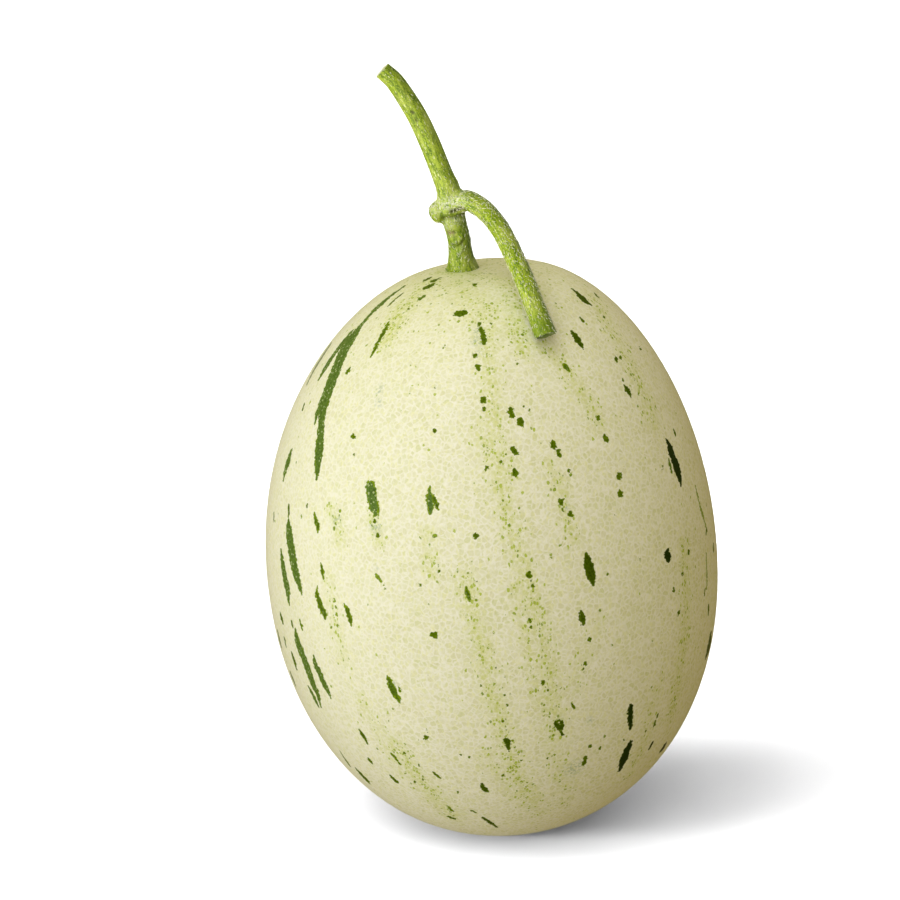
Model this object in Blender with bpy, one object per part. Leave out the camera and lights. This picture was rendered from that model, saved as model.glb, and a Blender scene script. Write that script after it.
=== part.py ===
"""A speckled ivory melon with its stalk and two cut lengths of vine, at its real size.

The fruit is an upright oval that leans a little to the left and to the front. It stands on a small flat
spot beside its blossom scar. The middle of that flat spot is the origin, +Z is up, +X is right and -Y is
the front. All sizes below are in millimetres and degrees, and MM turns them into Blender's metres.
"""

from math import cos, exp, pi, radians, sin

import bmesh
import bpy
from mathutils import Matrix, Vector

MM = 0.001

# Fruit: its widest circle, its two heights from that circle, and how full its curve is (2 is an ellipse)
EQUATOR_RADIUS = 64.0
HEIGHT_TO_STALK = 87.8
HEIGHT_TO_BLOSSOM = 80.0
FULLNESS_TO_STALK = 2.0
FULLNESS_TO_BLOSSOM = 2.13
# The stalk end is pressed in a little round the axis
SHOULDER_DEPTH = 3.8
SHOULDER_WIDTH = 16.8
# The axis bows to the right towards both ends, a little more at the stalk end
BOW = 2.1
BOW_SKEW = 2.55
LEAN_LEFT = 5.1
LEAN_FORWARD = 3.0
# Centre of the widest circle, from the middle of the flat spot
EQUATOR_CENTRE = (-1.4, -0.9, 78.6)
PROFILE_ROWS = 44
FRUIT_COLUMNS = 72
# Points of the skin that lie nearer than this to the rim of the flat spot are joined to it
RIM_CLEARANCE = 1.2

# Seat of the stalk in the fruit, and the round scar at the blossom end
SEAT_RADIUS = 5.3
SEAT_BELOW_FOOT = 0.4
SEAT_LENGTH = 4.0
SCAR_CENTRE = (6.2, 3.7, 0.0)
SCAR_RADIUS = 3.2
SCAR_DEPTH = 0.7

# Centre lines of the stem, as x, y, z and the radius there.
# The first runs up from the stalk's foot, through the node and along the left length of vine to its cut end.
STALK_AND_LEFT_VINE = (
    (-9.65, -0.6, 161.4, 4.7),
    (-9.7, -0.7, 162.3, 4.5),
    (-10.0, -1.0, 164.3, 3.85),
    (-10.3, -1.8, 167.0, 3.3),
    (-10.7, -3.2, 170.8, 3.1),
    (-11.6, -4.8, 174.9, 3.15),
    (-12.4, -6.0, 178.5, 3.3),
    (-12.9, -6.7, 181.8, 3.5),
    (-13.9, -6.9, 186.3, 3.2),
    (-15.3, -6.9, 189.7, 2.9),
    (-19.0, -6.7, 199.0, 2.7),
    (-22.8, -6.5, 206.9, 2.6),
    (-27.9, -6.3, 214.8, 2.45),
    (-30.6, -6.2, 217.6, 2.4),
    (-31.7, -6.2, 218.6, 2.5),
)
# The second leaves the node, arches over to the front right and ends just clear of the skin.
RIGHT_VINE = (
    (-13.1, -6.5, 180.9, 2.9),
    (-11.2, -7.9, 182.2, 3.1),
    (-8.8, -10.0, 182.6, 2.95),
    (-6.4, -12.2, 182.1, 2.75),
    (-3.7, -14.8, 180.6, 2.65),
    (1.0, -20.3, 176.4, 2.6),
    (5.2, -26.9, 169.1, 2.6),
    (7.9, -31.5, 163.5, 2.65),
    (10.4, -36.0, 157.8, 2.7),
    (12.8, -40.2, 152.1, 2.8),
)
NODE_CENTRE = (-12.7, -6.5, 180.6)
NODE_RADII = (4.1, 4.0, 3.0)
LEAF_SCAR_CENTRE = (-16.5, -6.7, 179.2)
LEAF_SCAR_RADII = (2.5, 2.6, 3.0)

# The vine is faintly five-ribbed, and the ribs fade out on the stalk's foot
RIBS = 5
RIB_HEIGHT = 0.04
RIB_FADE_LENGTH = 6.0
RING_SIDES = 20
STEPS_BETWEEN_POINTS = 3
KNOB_COLUMNS = 18
KNOB_ROWS = 10

RIND_COLOUR = (0.80, 0.78, 0.52, 1.0)
VINE_COLOUR = (0.32, 0.43, 0.07, 1.0)
RIND_ROUGHNESS = 0.42
VINE_ROUGHNESS = 0.6
# Edges that turn by more than this stay sharp in the shading, on the skin and on all that is smaller
SKIN_SHARP_ANGLE = 10.0
DETAIL_SHARP_ANGLE = 40.0


def millimetres(values):
    """Return a point given in millimetres as a vector in metres."""
    return Vector(values) * MM


def clear_scene():
    """Remove every object, so that the model starts from nothing."""
    for obj in list(bpy.data.objects):
        bpy.data.objects.remove(obj)


def surface(name, colour, roughness):
    """Return a plain Principled material."""
    material = bpy.data.materials.new(name)
    material.use_nodes = True
    shader = material.node_tree.nodes["Principled BSDF"]
    shader.inputs["Base Color"].default_value = colour
    shader.inputs["Roughness"].default_value = roughness
    shader.inputs["Metallic"].default_value = 0.0
    return material


def finished_object(name, bm, sharp_angle, material=None):
    """Turn a bmesh into a smooth-shaded object that is linked to the scene."""
    bmesh.ops.recalc_face_normals(bm, faces=bm.faces)
    mesh = bpy.data.meshes.new(name)
    bm.to_mesh(mesh)
    bm.free()
    mesh.shade_smooth()
    mesh.set_sharp_from_angle(angle=radians(sharp_angle))
    obj = bpy.data.objects.new(name, mesh)
    bpy.context.scene.collection.objects.link(obj)
    if material:
        mesh.materials.append(material)
    return obj


def helper(obj):
    """Mark an object that only cuts or feeds another one."""
    obj.hide_render = True
    obj.display_type = "WIRE"
    return obj


def combine(target, other, operation):
    """Add an exact Boolean of the helper object to the target."""
    modifier = target.modifiers.new(f"{operation.lower()}_{other.name}", "BOOLEAN")
    modifier.operation = operation
    modifier.solver = "EXACT"
    modifier.object = helper(other)


def fruit_profile():
    """Return the fruit's half outline in the XZ plane, from the stalk end down to the blossom end."""
    outline = []
    for row in range(PROFILE_ROWS + 1):
        angle = pi * row / PROFILE_ROWS
        above = cos(angle) > 0
        height = HEIGHT_TO_STALK if above else -HEIGHT_TO_BLOSSOM
        power = 2 / (FULLNESS_TO_STALK if above else FULLNESS_TO_BLOSSOM)
        across = EQUATOR_RADIUS * abs(sin(angle)) ** power
        if row in (0, PROFILE_ROWS):
            across = 0.0
        sink = SHOULDER_DEPTH * exp(-((across / SHOULDER_WIDTH) ** 2)) if above else 0.0
        outline.append((across, 0.0, height * abs(cos(angle)) ** power - sink))
    return outline


def lean_matrix():
    """Return the turn that leans the fruit to the left and then forward."""
    return Matrix.Rotation(radians(LEAN_FORWARD), 4, "X") @ Matrix.Rotation(-radians(LEAN_LEFT), 4, "Y")


def cut_flat_spot(bm):
    """Cut the fruit off level at the origin, join the points next to the rim to it, and close the cut."""
    whole = bm.verts[:] + bm.edges[:] + bm.faces[:]
    cut = bmesh.ops.bisect_plane(bm, geom=whole, plane_co=(0, 0, 0), plane_no=(0, 0, -1), clear_outer=True)
    rim_points = [item for item in cut["geom_cut"] if isinstance(item, bmesh.types.BMVert)]
    near = bmesh.ops.find_doubles(bm, verts=bm.verts, keep_verts=rim_points, dist=RIM_CLEARANCE * MM)
    bmesh.ops.weld_verts(bm, targetmap=near["targetmap"])
    bmesh.ops.edgeloop_fill(bm, edges=[edge for edge in bm.edges if edge.is_boundary])


def build_fruit():
    """Spin the outline, bow and lean it, and cut it off level at the flat spot."""
    bm = bmesh.new()
    points = [bm.verts.new(millimetres(point)) for point in fruit_profile()]
    edges = [bm.edges.new(pair) for pair in zip(points, points[1:])]
    bmesh.ops.spin(
        bm,
        geom=points + edges,
        axis=(0, 0, 1),
        cent=(0, 0, 0),
        angle=2 * pi,
        steps=FRUIT_COLUMNS,
        use_merge=True,
    )
    bmesh.ops.remove_doubles(bm, verts=bm.verts, dist=0.001 * MM)
    for vert in bm.verts:
        share = vert.co.z / (HEIGHT_TO_STALK * MM)
        vert.co.x += (BOW * share**2 + BOW_SKEW * share**3) * MM
    place = Matrix.Translation(millimetres(EQUATOR_CENTRE)) @ lean_matrix()
    bmesh.ops.transform(bm, matrix=place, verts=bm.verts)
    cut_flat_spot(bm)
    return finished_object("fruit", bm, SKIN_SHARP_ANGLE, surface("rind", RIND_COLOUR, RIND_ROUGHNESS))


def round_cutter(name, floor, direction, radius, length):
    """Return a plain round cutter that stands on the given floor and points along the direction."""
    bm = bmesh.new()
    turn = Vector((0, 0, 1)).rotation_difference(direction).to_matrix().to_4x4()
    place = Matrix.Translation(floor) @ turn @ Matrix.Translation((0, 0, length / 2))
    bmesh.ops.create_cone(
        bm, cap_ends=True, segments=RING_SIDES, radius1=radius, radius2=radius, depth=length, matrix=place
    )
    return finished_object(name, bm, DETAIL_SHARP_ANGLE)


def stalk_seat():
    """Return the cutter of the shallow round seat that the stalk's foot stands in."""
    foot = millimetres(STALK_AND_LEFT_VINE[0][:3])
    upward = (millimetres(STALK_AND_LEFT_VINE[1][:3]) - foot).normalized()
    floor = foot - upward * SEAT_BELOW_FOOT * MM
    return round_cutter("stalk_seat", floor, upward, SEAT_RADIUS * MM, SEAT_LENGTH * MM)


def blossom_scar():
    """Return the cutter of the shallow round scar beside the flat spot's middle."""
    floor = millimetres(SCAR_CENTRE) + Vector((0, 0, SCAR_DEPTH * MM))
    return round_cutter("blossom_scar", floor, Vector((0, 0, -1)), SCAR_RADIUS * MM, 2 * SCAR_DEPTH * MM)


def smooth_line(line):
    """Return the line's stations on a smooth curve through its points, the radius included."""
    given = [Vector(point) for point in line]
    given = [2 * given[0] - given[1]] + given + [2 * given[-1] - given[-2]]
    stations = []
    for before, start, end, after in zip(given, given[1:], given[2:], given[3:]):
        for step in range(STEPS_BETWEEN_POINTS):
            t = step / STEPS_BETWEEN_POINTS
            stations.append(
                0.5
                * (
                    2 * start
                    + (end - before) * t
                    + (2 * before - 5 * start + 4 * end - after) * t**2
                    + (3 * start - before - 3 * end + after) * t**3
                )
            )
    return stations + [given[-2]]


def ribbed_tube(name, line, fade_length=0.0):
    """Sweep a ribbed ring along a centre line and close both ends."""
    stations = smooth_line(line)
    centres = [millimetres(station[:3]) for station in stations]
    bm = bmesh.new()
    turn = Vector((0, 0, 1)).rotation_difference(centres[1] - centres[0])
    last_direction = (centres[1] - centres[0]).normalized()
    last_ring = None
    for index, centre in enumerate(centres):
        ahead = centres[min(index + 1, len(centres) - 1)]
        behind = centres[max(index - 1, 0)]
        direction = (ahead - behind).normalized()
        turn = last_direction.rotation_difference(direction) @ turn
        last_direction = direction
        from_foot = (centre - centres[0]).length / MM
        rib_height = RIB_HEIGHT * (1 - exp(-from_foot / fade_length) if fade_length else 1)
        radius = stations[index][3] * MM
        ring = bmesh.ops.create_circle(bm, segments=RING_SIDES, radius=radius)["verts"]
        for vert in ring:
            around = RIBS * Vector((1, 0)).angle_signed(vert.co.xy)
            vert.co *= 1 + rib_height * cos(around)
        bmesh.ops.transform(bm, matrix=Matrix.Translation(centre) @ turn.to_matrix().to_4x4(), verts=ring)
        ring_edges = list({edge for vert in ring for edge in vert.link_edges})
        if last_ring is None:
            bmesh.ops.edgeloop_fill(bm, edges=ring_edges)
        else:
            bmesh.ops.bridge_loops(bm, edges=last_ring + ring_edges)
        last_ring = ring_edges
    bmesh.ops.edgeloop_fill(bm, edges=last_ring)
    return finished_object(name, bm, DETAIL_SHARP_ANGLE)


def knob(name, centre, radii):
    """Return a rounded swelling with the three given radii."""
    bm = bmesh.new()
    place = Matrix.Translation(millimetres(centre)) @ Matrix.Diagonal((*millimetres(radii), 1.0))
    bmesh.ops.create_uvsphere(bm, u_segments=KNOB_COLUMNS, v_segments=KNOB_ROWS, radius=1.0, matrix=place)
    return finished_object(name, bm, DETAIL_SHARP_ANGLE)


def build_stem():
    """Join the stalk, both lengths of vine, the swollen node and its leaf scar in one solid."""
    stem = ribbed_tube("stem", STALK_AND_LEFT_VINE, fade_length=RIB_FADE_LENGTH)
    stem.data.materials.append(surface("vine", VINE_COLOUR, VINE_ROUGHNESS))
    combine(stem, ribbed_tube("right_vine", RIGHT_VINE), "UNION")
    combine(stem, knob("node", NODE_CENTRE, NODE_RADII), "UNION")
    combine(stem, knob("leaf_scar", LEAF_SCAR_CENTRE, LEAF_SCAR_RADII), "UNION")
    return stem


def main():
    """Build the fruit with its two shallow hollows, and the stem that stands in the upper one."""
    clear_scene()
    fruit = build_fruit()
    combine(fruit, stalk_seat(), "DIFFERENCE")
    combine(fruit, blossom_scar(), "DIFFERENCE")
    build_stem()


main()
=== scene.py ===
"""Looks of a speckled ivory melon with its stalk and two cut lengths of vine.

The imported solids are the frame. The rind and the stem are modelled here again on the same shapes, with the
fine surface that the real ones have, and they stand for the two solids. Every size is in millimetres unless
its name says otherwise, and MM turns it into metres. A place that was read off the photograph is a pixel of
its frame of 900 by 900, and it is carried onto the melon along the camera's ray, so it lies on the skin from
every side.
"""

import logging
from collections.abc import Iterable, Sequence
from dataclasses import dataclass, field
from enum import Enum
from math import cos, pi, radians, sin
from random import Random

import bmesh
import bpy
import numpy as np
from mathutils import Matrix, Vector
from mathutils.bvhtree import BVHTree
from mathutils.kdtree import KDTree


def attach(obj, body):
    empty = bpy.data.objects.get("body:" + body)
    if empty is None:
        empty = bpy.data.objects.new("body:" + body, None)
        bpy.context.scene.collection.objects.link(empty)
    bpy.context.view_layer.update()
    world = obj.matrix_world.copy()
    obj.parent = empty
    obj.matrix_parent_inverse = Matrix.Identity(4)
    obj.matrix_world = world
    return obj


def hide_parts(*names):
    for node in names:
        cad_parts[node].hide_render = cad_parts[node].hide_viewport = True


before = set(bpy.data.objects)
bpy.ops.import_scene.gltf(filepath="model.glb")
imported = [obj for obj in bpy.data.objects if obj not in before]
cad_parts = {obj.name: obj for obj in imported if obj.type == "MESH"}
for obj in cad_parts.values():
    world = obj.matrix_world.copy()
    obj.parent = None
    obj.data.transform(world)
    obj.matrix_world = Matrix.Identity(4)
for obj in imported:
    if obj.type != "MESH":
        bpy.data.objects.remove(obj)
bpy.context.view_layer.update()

MM = 0.001
UP = Vector((0.0, 0.0, 1.0))
FAR_MM = 1000.0
STEPS_BETWEEN_POINTS = 24

Pixel = tuple[float, float]
Range = tuple[float, float]
Triple = tuple[float, float, float]
Line = tuple[Triple, ...]
Colour = tuple[float, float, float, float]
Numbers = tuple[float, ...]
Socket = bpy.types.NodeSocket

log = logging.getLogger("melon")


# The camera


@dataclass(frozen=True)
class PhotoView:
    """The camera at the photograph's viewing angle."""

    eye: Triple = (-1.4, -1063.42, 363.30)
    turned_left_deg: float = 0.6368
    tipped_down_deg: float = 13.4036
    lens: float = 154.748
    sensor: float = 36.0
    frame_px: int = 900
    nearest_m: float = 0.05
    farthest_m: float = 30.0

    @property
    def focal_px(self) -> float:
        """The lens's focal length in pixels of the photograph."""
        return self.lens / self.sensor * self.frame_px

    @property
    def px_per_mm(self) -> float:
        """How many pixels a millimetre at the melon covers."""
        return self.focal_px / -self.eye[1]

    def axes(self) -> Matrix:
        """Return the camera's turn, with its right, up and backward directions as columns."""
        yaw, pitch = -radians(self.turned_left_deg), radians(self.tipped_down_deg)
        forward = Vector((sin(yaw) * cos(pitch), cos(yaw) * cos(pitch), -sin(pitch)))
        right = forward.cross(UP).normalized()
        return Matrix((right, right.cross(forward), -forward)).transposed()

    def ray(self, pixel: Pixel) -> tuple[Vector, Vector]:
        """Return the ray that a pixel looks along.

        Args:
            pixel: across from the left and down from the top of the frame.

        Returns:
            The eye's place in metres and the ray's direction.
        """
        middle = self.frame_px / 2
        direction = self.axes() @ Vector((pixel[0] - middle, middle - pixel[1], -self.focal_px))
        return Vector(self.eye) * MM, direction.normalized()

    def build(self) -> bpy.types.Object:
        """Make the camera and return it."""
        data = bpy.data.cameras.new("photo_view")
        data.lens = self.lens
        data.sensor_width = self.sensor
        data.clip_start = self.nearest_m
        data.clip_end = self.farthest_m
        camera = bpy.data.objects.new("photo_view", data)
        bpy.context.scene.collection.objects.link(camera)
        camera.matrix_world = Matrix.Translation(Vector(self.eye) * MM) @ self.axes().to_4x4()
        bpy.context.scene.camera = camera
        return camera


# Mesh helpers


def read_rows(parts: Sequence, key: str, numbers: int = 3) -> np.ndarray:
    """Return what a mesh stores on each of its vertices or faces, one row each.

    Args:
        parts: the mesh's vertices, vertex normals or faces.
        key: the name of what is stored.
        numbers: how many numbers it has.
    """
    values = np.empty(len(parts) * numbers, np.float32)
    parts.foreach_get(key, values)
    return values.reshape(-1, numbers).astype(float)


def vertex_places(mesh: bpy.types.Mesh) -> np.ndarray:
    """Return the mesh's vertices in millimetres, one row each."""
    return read_rows(mesh.vertices, "co") / MM


def set_places(mesh: bpy.types.Mesh, places: np.ndarray) -> None:
    """Move the mesh's vertices to the given places in millimetres."""
    mesh.vertices.foreach_set("co", (places * MM).astype(np.float32).ravel())
    mesh.update()


def set_attribute(mesh: bpy.types.Mesh, name: str, values: np.ndarray, domain: str = "POINT") -> None:
    """Store numbers or vectors on a mesh for its material to read.

    Args:
        mesh: the mesh.
        name: the attribute's name.
        values: one number or one row of three for each vertex or face corner.
        domain: POINT for vertices or CORNER for face corners.
    """
    kind, key = ("FLOAT", "value") if values.ndim == 1 else ("FLOAT_VECTOR", "vector")
    attribute = mesh.attributes.new(name, kind, domain)
    attribute.data.foreach_set(key, values.astype(np.float32).ravel())


def new_piece(name: str, mesh: bpy.types.Mesh) -> bpy.types.Object:
    """Link a mesh to the scene as a piece at the origin."""
    piece = bpy.data.objects.new(name, mesh)
    bpy.context.scene.collection.objects.link(piece)
    return piece


def mesh_of(name: str, bm: bmesh.types.BMesh) -> bpy.types.Mesh:
    """Turn a bmesh into a smooth-shaded mesh and free it.

    Args:
        name: the mesh's name.
        bm: the bmesh, which can't be used after this.

    Returns:
        The mesh.
    """
    mesh = bpy.data.meshes.new(name)
    bm.to_mesh(mesh)
    bm.free()
    mesh.shade_smooth()
    return mesh


def smooth_curve(points: Sequence[Sequence[float]], spacing: float, place_numbers: int = 3) -> np.ndarray:
    """Return evenly spaced rows on a smooth curve through the given rows.

    Args:
        points: the rows, each a place and any other numbers that change along the curve.
        spacing: the distance between the rows returned.
        place_numbers: how many of a row's numbers are its place.

    Returns:
        One row for each station.
    """
    rows = np.array(points, float)
    padded = np.vstack([2 * rows[0] - rows[1], rows, 2 * rows[-1] - rows[-2]])
    dense = []
    share = np.linspace(0, 1, STEPS_BETWEEN_POINTS, endpoint=False)[:, None]
    for before, start, end, after in zip(padded, padded[1:], padded[2:], padded[3:]):
        bend = 2 * before - 5 * start + 4 * end - after
        twist = 3 * start - before - 3 * end + after
        dense.append(0.5 * (2 * start + (end - before) * share + bend * share**2 + twist * share**3))
    dense = np.vstack([*dense, rows[-1:]])
    run = path_run(dense[:, :place_numbers])
    stations = np.linspace(0, run[-1], max(2, int(round(run[-1] / spacing)) + 1))
    return np.stack([np.interp(stations, run, column) for column in dense.T], 1)


def lengths(rows: np.ndarray) -> np.ndarray:
    """Return the length of each row."""
    return np.linalg.norm(rows, axis=1)


def unit_rows(rows: np.ndarray) -> np.ndarray:
    """Return each row divided by its length."""
    return rows / lengths(rows)[:, None]


def distances(places: np.ndarray, point: Sequence[float]) -> np.ndarray:
    """Return each place's distance to a point."""
    return lengths(places - np.array(point))


def path_run(places: np.ndarray) -> np.ndarray:
    """Return how far along a path each of its places lies."""
    return np.concatenate([[0.0], np.cumsum(lengths(np.diff(places, axis=0)))])


def fade(distance: np.ndarray, reach: float) -> np.ndarray:
    """Return 1 at no distance, falling smoothly to nothing within about twice the reach."""
    return np.exp(-((distance / reach) ** 2))


def distance_to_route(places: np.ndarray, route: np.ndarray) -> np.ndarray:
    """Return each place's distance to the nearest station of a route, both in millimetres.

    Args:
        places: the places, one row each.
        route: the stations, one row each.

    Returns:
        One distance for each place.
    """
    nearest = np.full(len(places), FAR_MM)
    for station in route:
        nearest = np.minimum(nearest, distances(places, station))
    return nearest


class Target:
    """A mesh that places read off the photograph are carried onto."""

    tries = 6

    def __init__(self, mesh: bpy.types.Mesh, view: PhotoView) -> None:
        """Keep a search tree of the mesh, and the camera whose rays reach it."""
        shape = bmesh.new()
        shape.from_mesh(mesh)
        self.tree = BVHTree.FromBMesh(shape)
        shape.free()
        self.view = view

    def hit(self, pixel: Pixel) -> tuple[np.ndarray, np.ndarray]:
        """Carry a pixel onto the mesh, or onto the mesh's nearest edge if its ray just misses.

        Args:
            pixel: the place in the photograph.

        Returns:
            The place in millimetres and the surface's normal there.
        """
        eye, direction = self.view.ray(pixel)
        place, normal, _, _ = self.tree.ray_cast(eye, direction)
        reach = eye.length
        for _ in range(0 if place else self.tries):
            place, normal, _, _ = self.tree.find_nearest(eye + direction * reach)
            reach = (place - eye).dot(direction)
        return np.array(place) / MM, np.array(normal)

    def hits(self, pixels: Iterable[Pixel]) -> tuple[np.ndarray, np.ndarray]:
        """Carry pixels onto the mesh, and return their places and normals there, one row each."""
        places, normals = zip(*(self.hit(tuple(pixel)) for pixel in pixels))
        return np.array(places), np.array(normals)

    def route(self, pixels: Sequence[Pixel], spacing_px: float) -> np.ndarray:
        """Carry a route of pixels onto the mesh, with stations on a smooth curve through them."""
        return self.hits(smooth_curve(pixels, spacing_px, 2))[0]


# Materials


class Recipe:
    """A material in the making, with short ways to add and link its nodes."""

    def __init__(self, name: str) -> None:
        """Start a material that has only its shader and its output."""
        self.material = bpy.data.materials.new(name)
        self.material.use_nodes = True
        self.tree = self.material.node_tree
        self.shader = self.tree.nodes["Principled BSDF"]
        coordinates = self.tree.nodes.new("ShaderNodeTexCoord").outputs["Object"]
        self.place = self.vector("SCALE", coordinates, scale=1 / MM)

    def feed(self, socket: Socket, value: object) -> None:
        """Link a value to a socket if it is one itself, or else set it there."""
        if isinstance(value, bpy.types.NodeSocket):
            self.tree.links.new(value, socket)
        else:
            socket.default_value = value

    def math(self, operation: str, *values: object, clamp: bool = False) -> Socket:
        """Return the result of a Math node.

        Args:
            operation: what the node does.
            values: numbers or sockets, in the order of its inputs.
            clamp: whether the result is kept between 0 and 1.

        Returns:
            The result's socket.
        """
        node = self.tree.nodes.new("ShaderNodeMath")
        node.operation = operation
        node.use_clamp = clamp
        for socket, value in zip(node.inputs, values):
            self.feed(socket, value)
        return node.outputs[0]

    def plus(self, first: object, second: object, clamp: bool = False) -> Socket:
        """Return the sum of two values."""
        return self.math("ADD", first, second, clamp=clamp)

    def minus(self, first: object, second: object, clamp: bool = False) -> Socket:
        """Return the first value less the second."""
        return self.math("SUBTRACT", first, second, clamp=clamp)

    def times(self, first: object, second: object, clamp: bool = False) -> Socket:
        """Return the product of two values."""
        return self.math("MULTIPLY", first, second, clamp=clamp)

    def slope(self, value: object, steepness: object, start: object) -> Socket:
        """Return the value times the steepness, plus the start."""
        return self.math("MULTIPLY_ADD", value, steepness, start)

    def vector(self, operation: str, *values: object, scale: float | None = None) -> Socket:
        """Return the vector result of a Vector Math node.

        Args:
            operation: what the node does.
            values: vectors or sockets, in the order of its inputs.
            scale: the factor, for SCALE only.

        Returns:
            The result's socket.
        """
        node = self.tree.nodes.new("ShaderNodeVectorMath")
        node.operation = operation
        for socket, value in zip(node.inputs, values):
            self.feed(socket, value)
        if scale is not None:
            node.inputs["Scale"].default_value = scale
        return node.outputs[0]

    def mix(self, share: object, first: object, second: object) -> Socket:
        """Return the first colour turned into the second by the given share.

        Args:
            share: how much of the second colour shows, from 0 to 1.
            first: the colour or socket where the share is 0.
            second: the colour or socket where it is 1.

        Returns:
            The mixed colour's socket.
        """
        node = self.tree.nodes.new("ShaderNodeMix")
        node.data_type = "RGBA"
        self.feed(node.inputs["Factor"], share)
        self.feed(node.inputs[6], first)
        self.feed(node.inputs[7], second)
        return node.outputs[2]

    def step(self, value: object, low: float, high: float, bottom: float = 0.0, top: float = 1.0) -> Socket:
        """Return a smooth step from bottom to top as the value goes from low to high.

        Args:
            value: the socket that is stepped.
            low: where the step starts.
            high: where it ends.
            bottom: the result before it.
            top: the result after it.

        Returns:
            The result's socket.
        """
        node = self.tree.nodes.new("ShaderNodeMapRange")
        node.interpolation_type = "SMOOTHSTEP"
        for socket, number in zip(node.inputs, (value, low, high, bottom, top)):
            self.feed(socket, number)
        return node.outputs[0]

    def noise(self, place: Socket, size: float, detail: float = 2.0, rough: float = 0.5,
              output: str = "Fac") -> Socket:
        """Return noise whose blotches are about the given size across.

        Args:
            place: the place that the noise is read at.
            size: the size in the place's units.
            detail: how many finer layers it has.
            rough: how strong they are.
            output: Fac for a number or Color for three.

        Returns:
            The noise's socket.
        """
        node = self.tree.nodes.new("ShaderNodeTexNoise")
        self.feed(node.inputs["Vector"], place)
        node.inputs["Scale"].default_value = 1 / size
        node.inputs["Detail"].default_value = detail
        node.inputs["Roughness"].default_value = rough
        return node.outputs[output]

    def cells(self, place: Socket, size: float, feature: str = "F1") -> bpy.types.Node:
        """Return a cell pattern node whose cells are about the given size across.

        Args:
            place: the place that the pattern is read at.
            size: the size in the place's units.
            feature: F1 for the cells or DISTANCE_TO_EDGE for the lines between them.

        Returns:
            The node.
        """
        node = self.tree.nodes.new("ShaderNodeTexVoronoi")
        node.feature = feature
        self.feed(node.inputs["Vector"], place)
        node.inputs["Scale"].default_value = 1 / size
        return node

    def warped(self, place: Socket, size: float, amount: float) -> Socket:
        """Return the place pushed about by noise of the given size and amount."""
        push = self.vector("SUBTRACT", self.noise(place, size, output="Color"), (0.5, 0.5, 0.5))
        return self.vector("ADD", place, self.vector("SCALE", push, scale=2 * amount))

    def drawn_out(self, place: Socket, share: float) -> Socket:
        """Return the place with its third number lessened, so that a pattern there is longer by as much."""
        return self.vector("MULTIPLY", place, (1.0, 1.0, share))

    def attribute(self, name: str, output: str = "Fac") -> Socket:
        """Return one of the piece's attributes."""
        node = self.tree.nodes.new("ShaderNodeAttribute")
        node.attribute_name = name
        return node.outputs[output]

    def split(self, vector: Socket) -> tuple[Socket, Socket, Socket]:
        """Return a vector's three numbers."""
        node = self.tree.nodes.new("ShaderNodeSeparateXYZ")
        self.feed(node.inputs[0], vector)
        return node.outputs[0], node.outputs[1], node.outputs[2]

    def bump(self, height: Socket, distance: float, strength: float) -> None:
        """Give the shader a relief of the given height in millimetres.

        Args:
            height: the relief, as a share of the full height.
            distance: the full height.
            strength: how much of it shows.
        """
        node = self.tree.nodes.new("ShaderNodeBump")
        node.inputs["Strength"].default_value = strength
        node.inputs["Distance"].default_value = distance * MM
        self.feed(node.inputs["Height"], height)
        self.feed(self.shader.inputs["Normal"], node.outputs["Normal"])

    def coat(self, colour: object, roughness: object, shine: object) -> None:
        """Give the shader its colour, roughness and shine."""
        for name, value in (("Base Color", colour), ("Roughness", roughness), ("Specular IOR Level", shine)):
            self.feed(self.shader.inputs[name], value)


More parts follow.
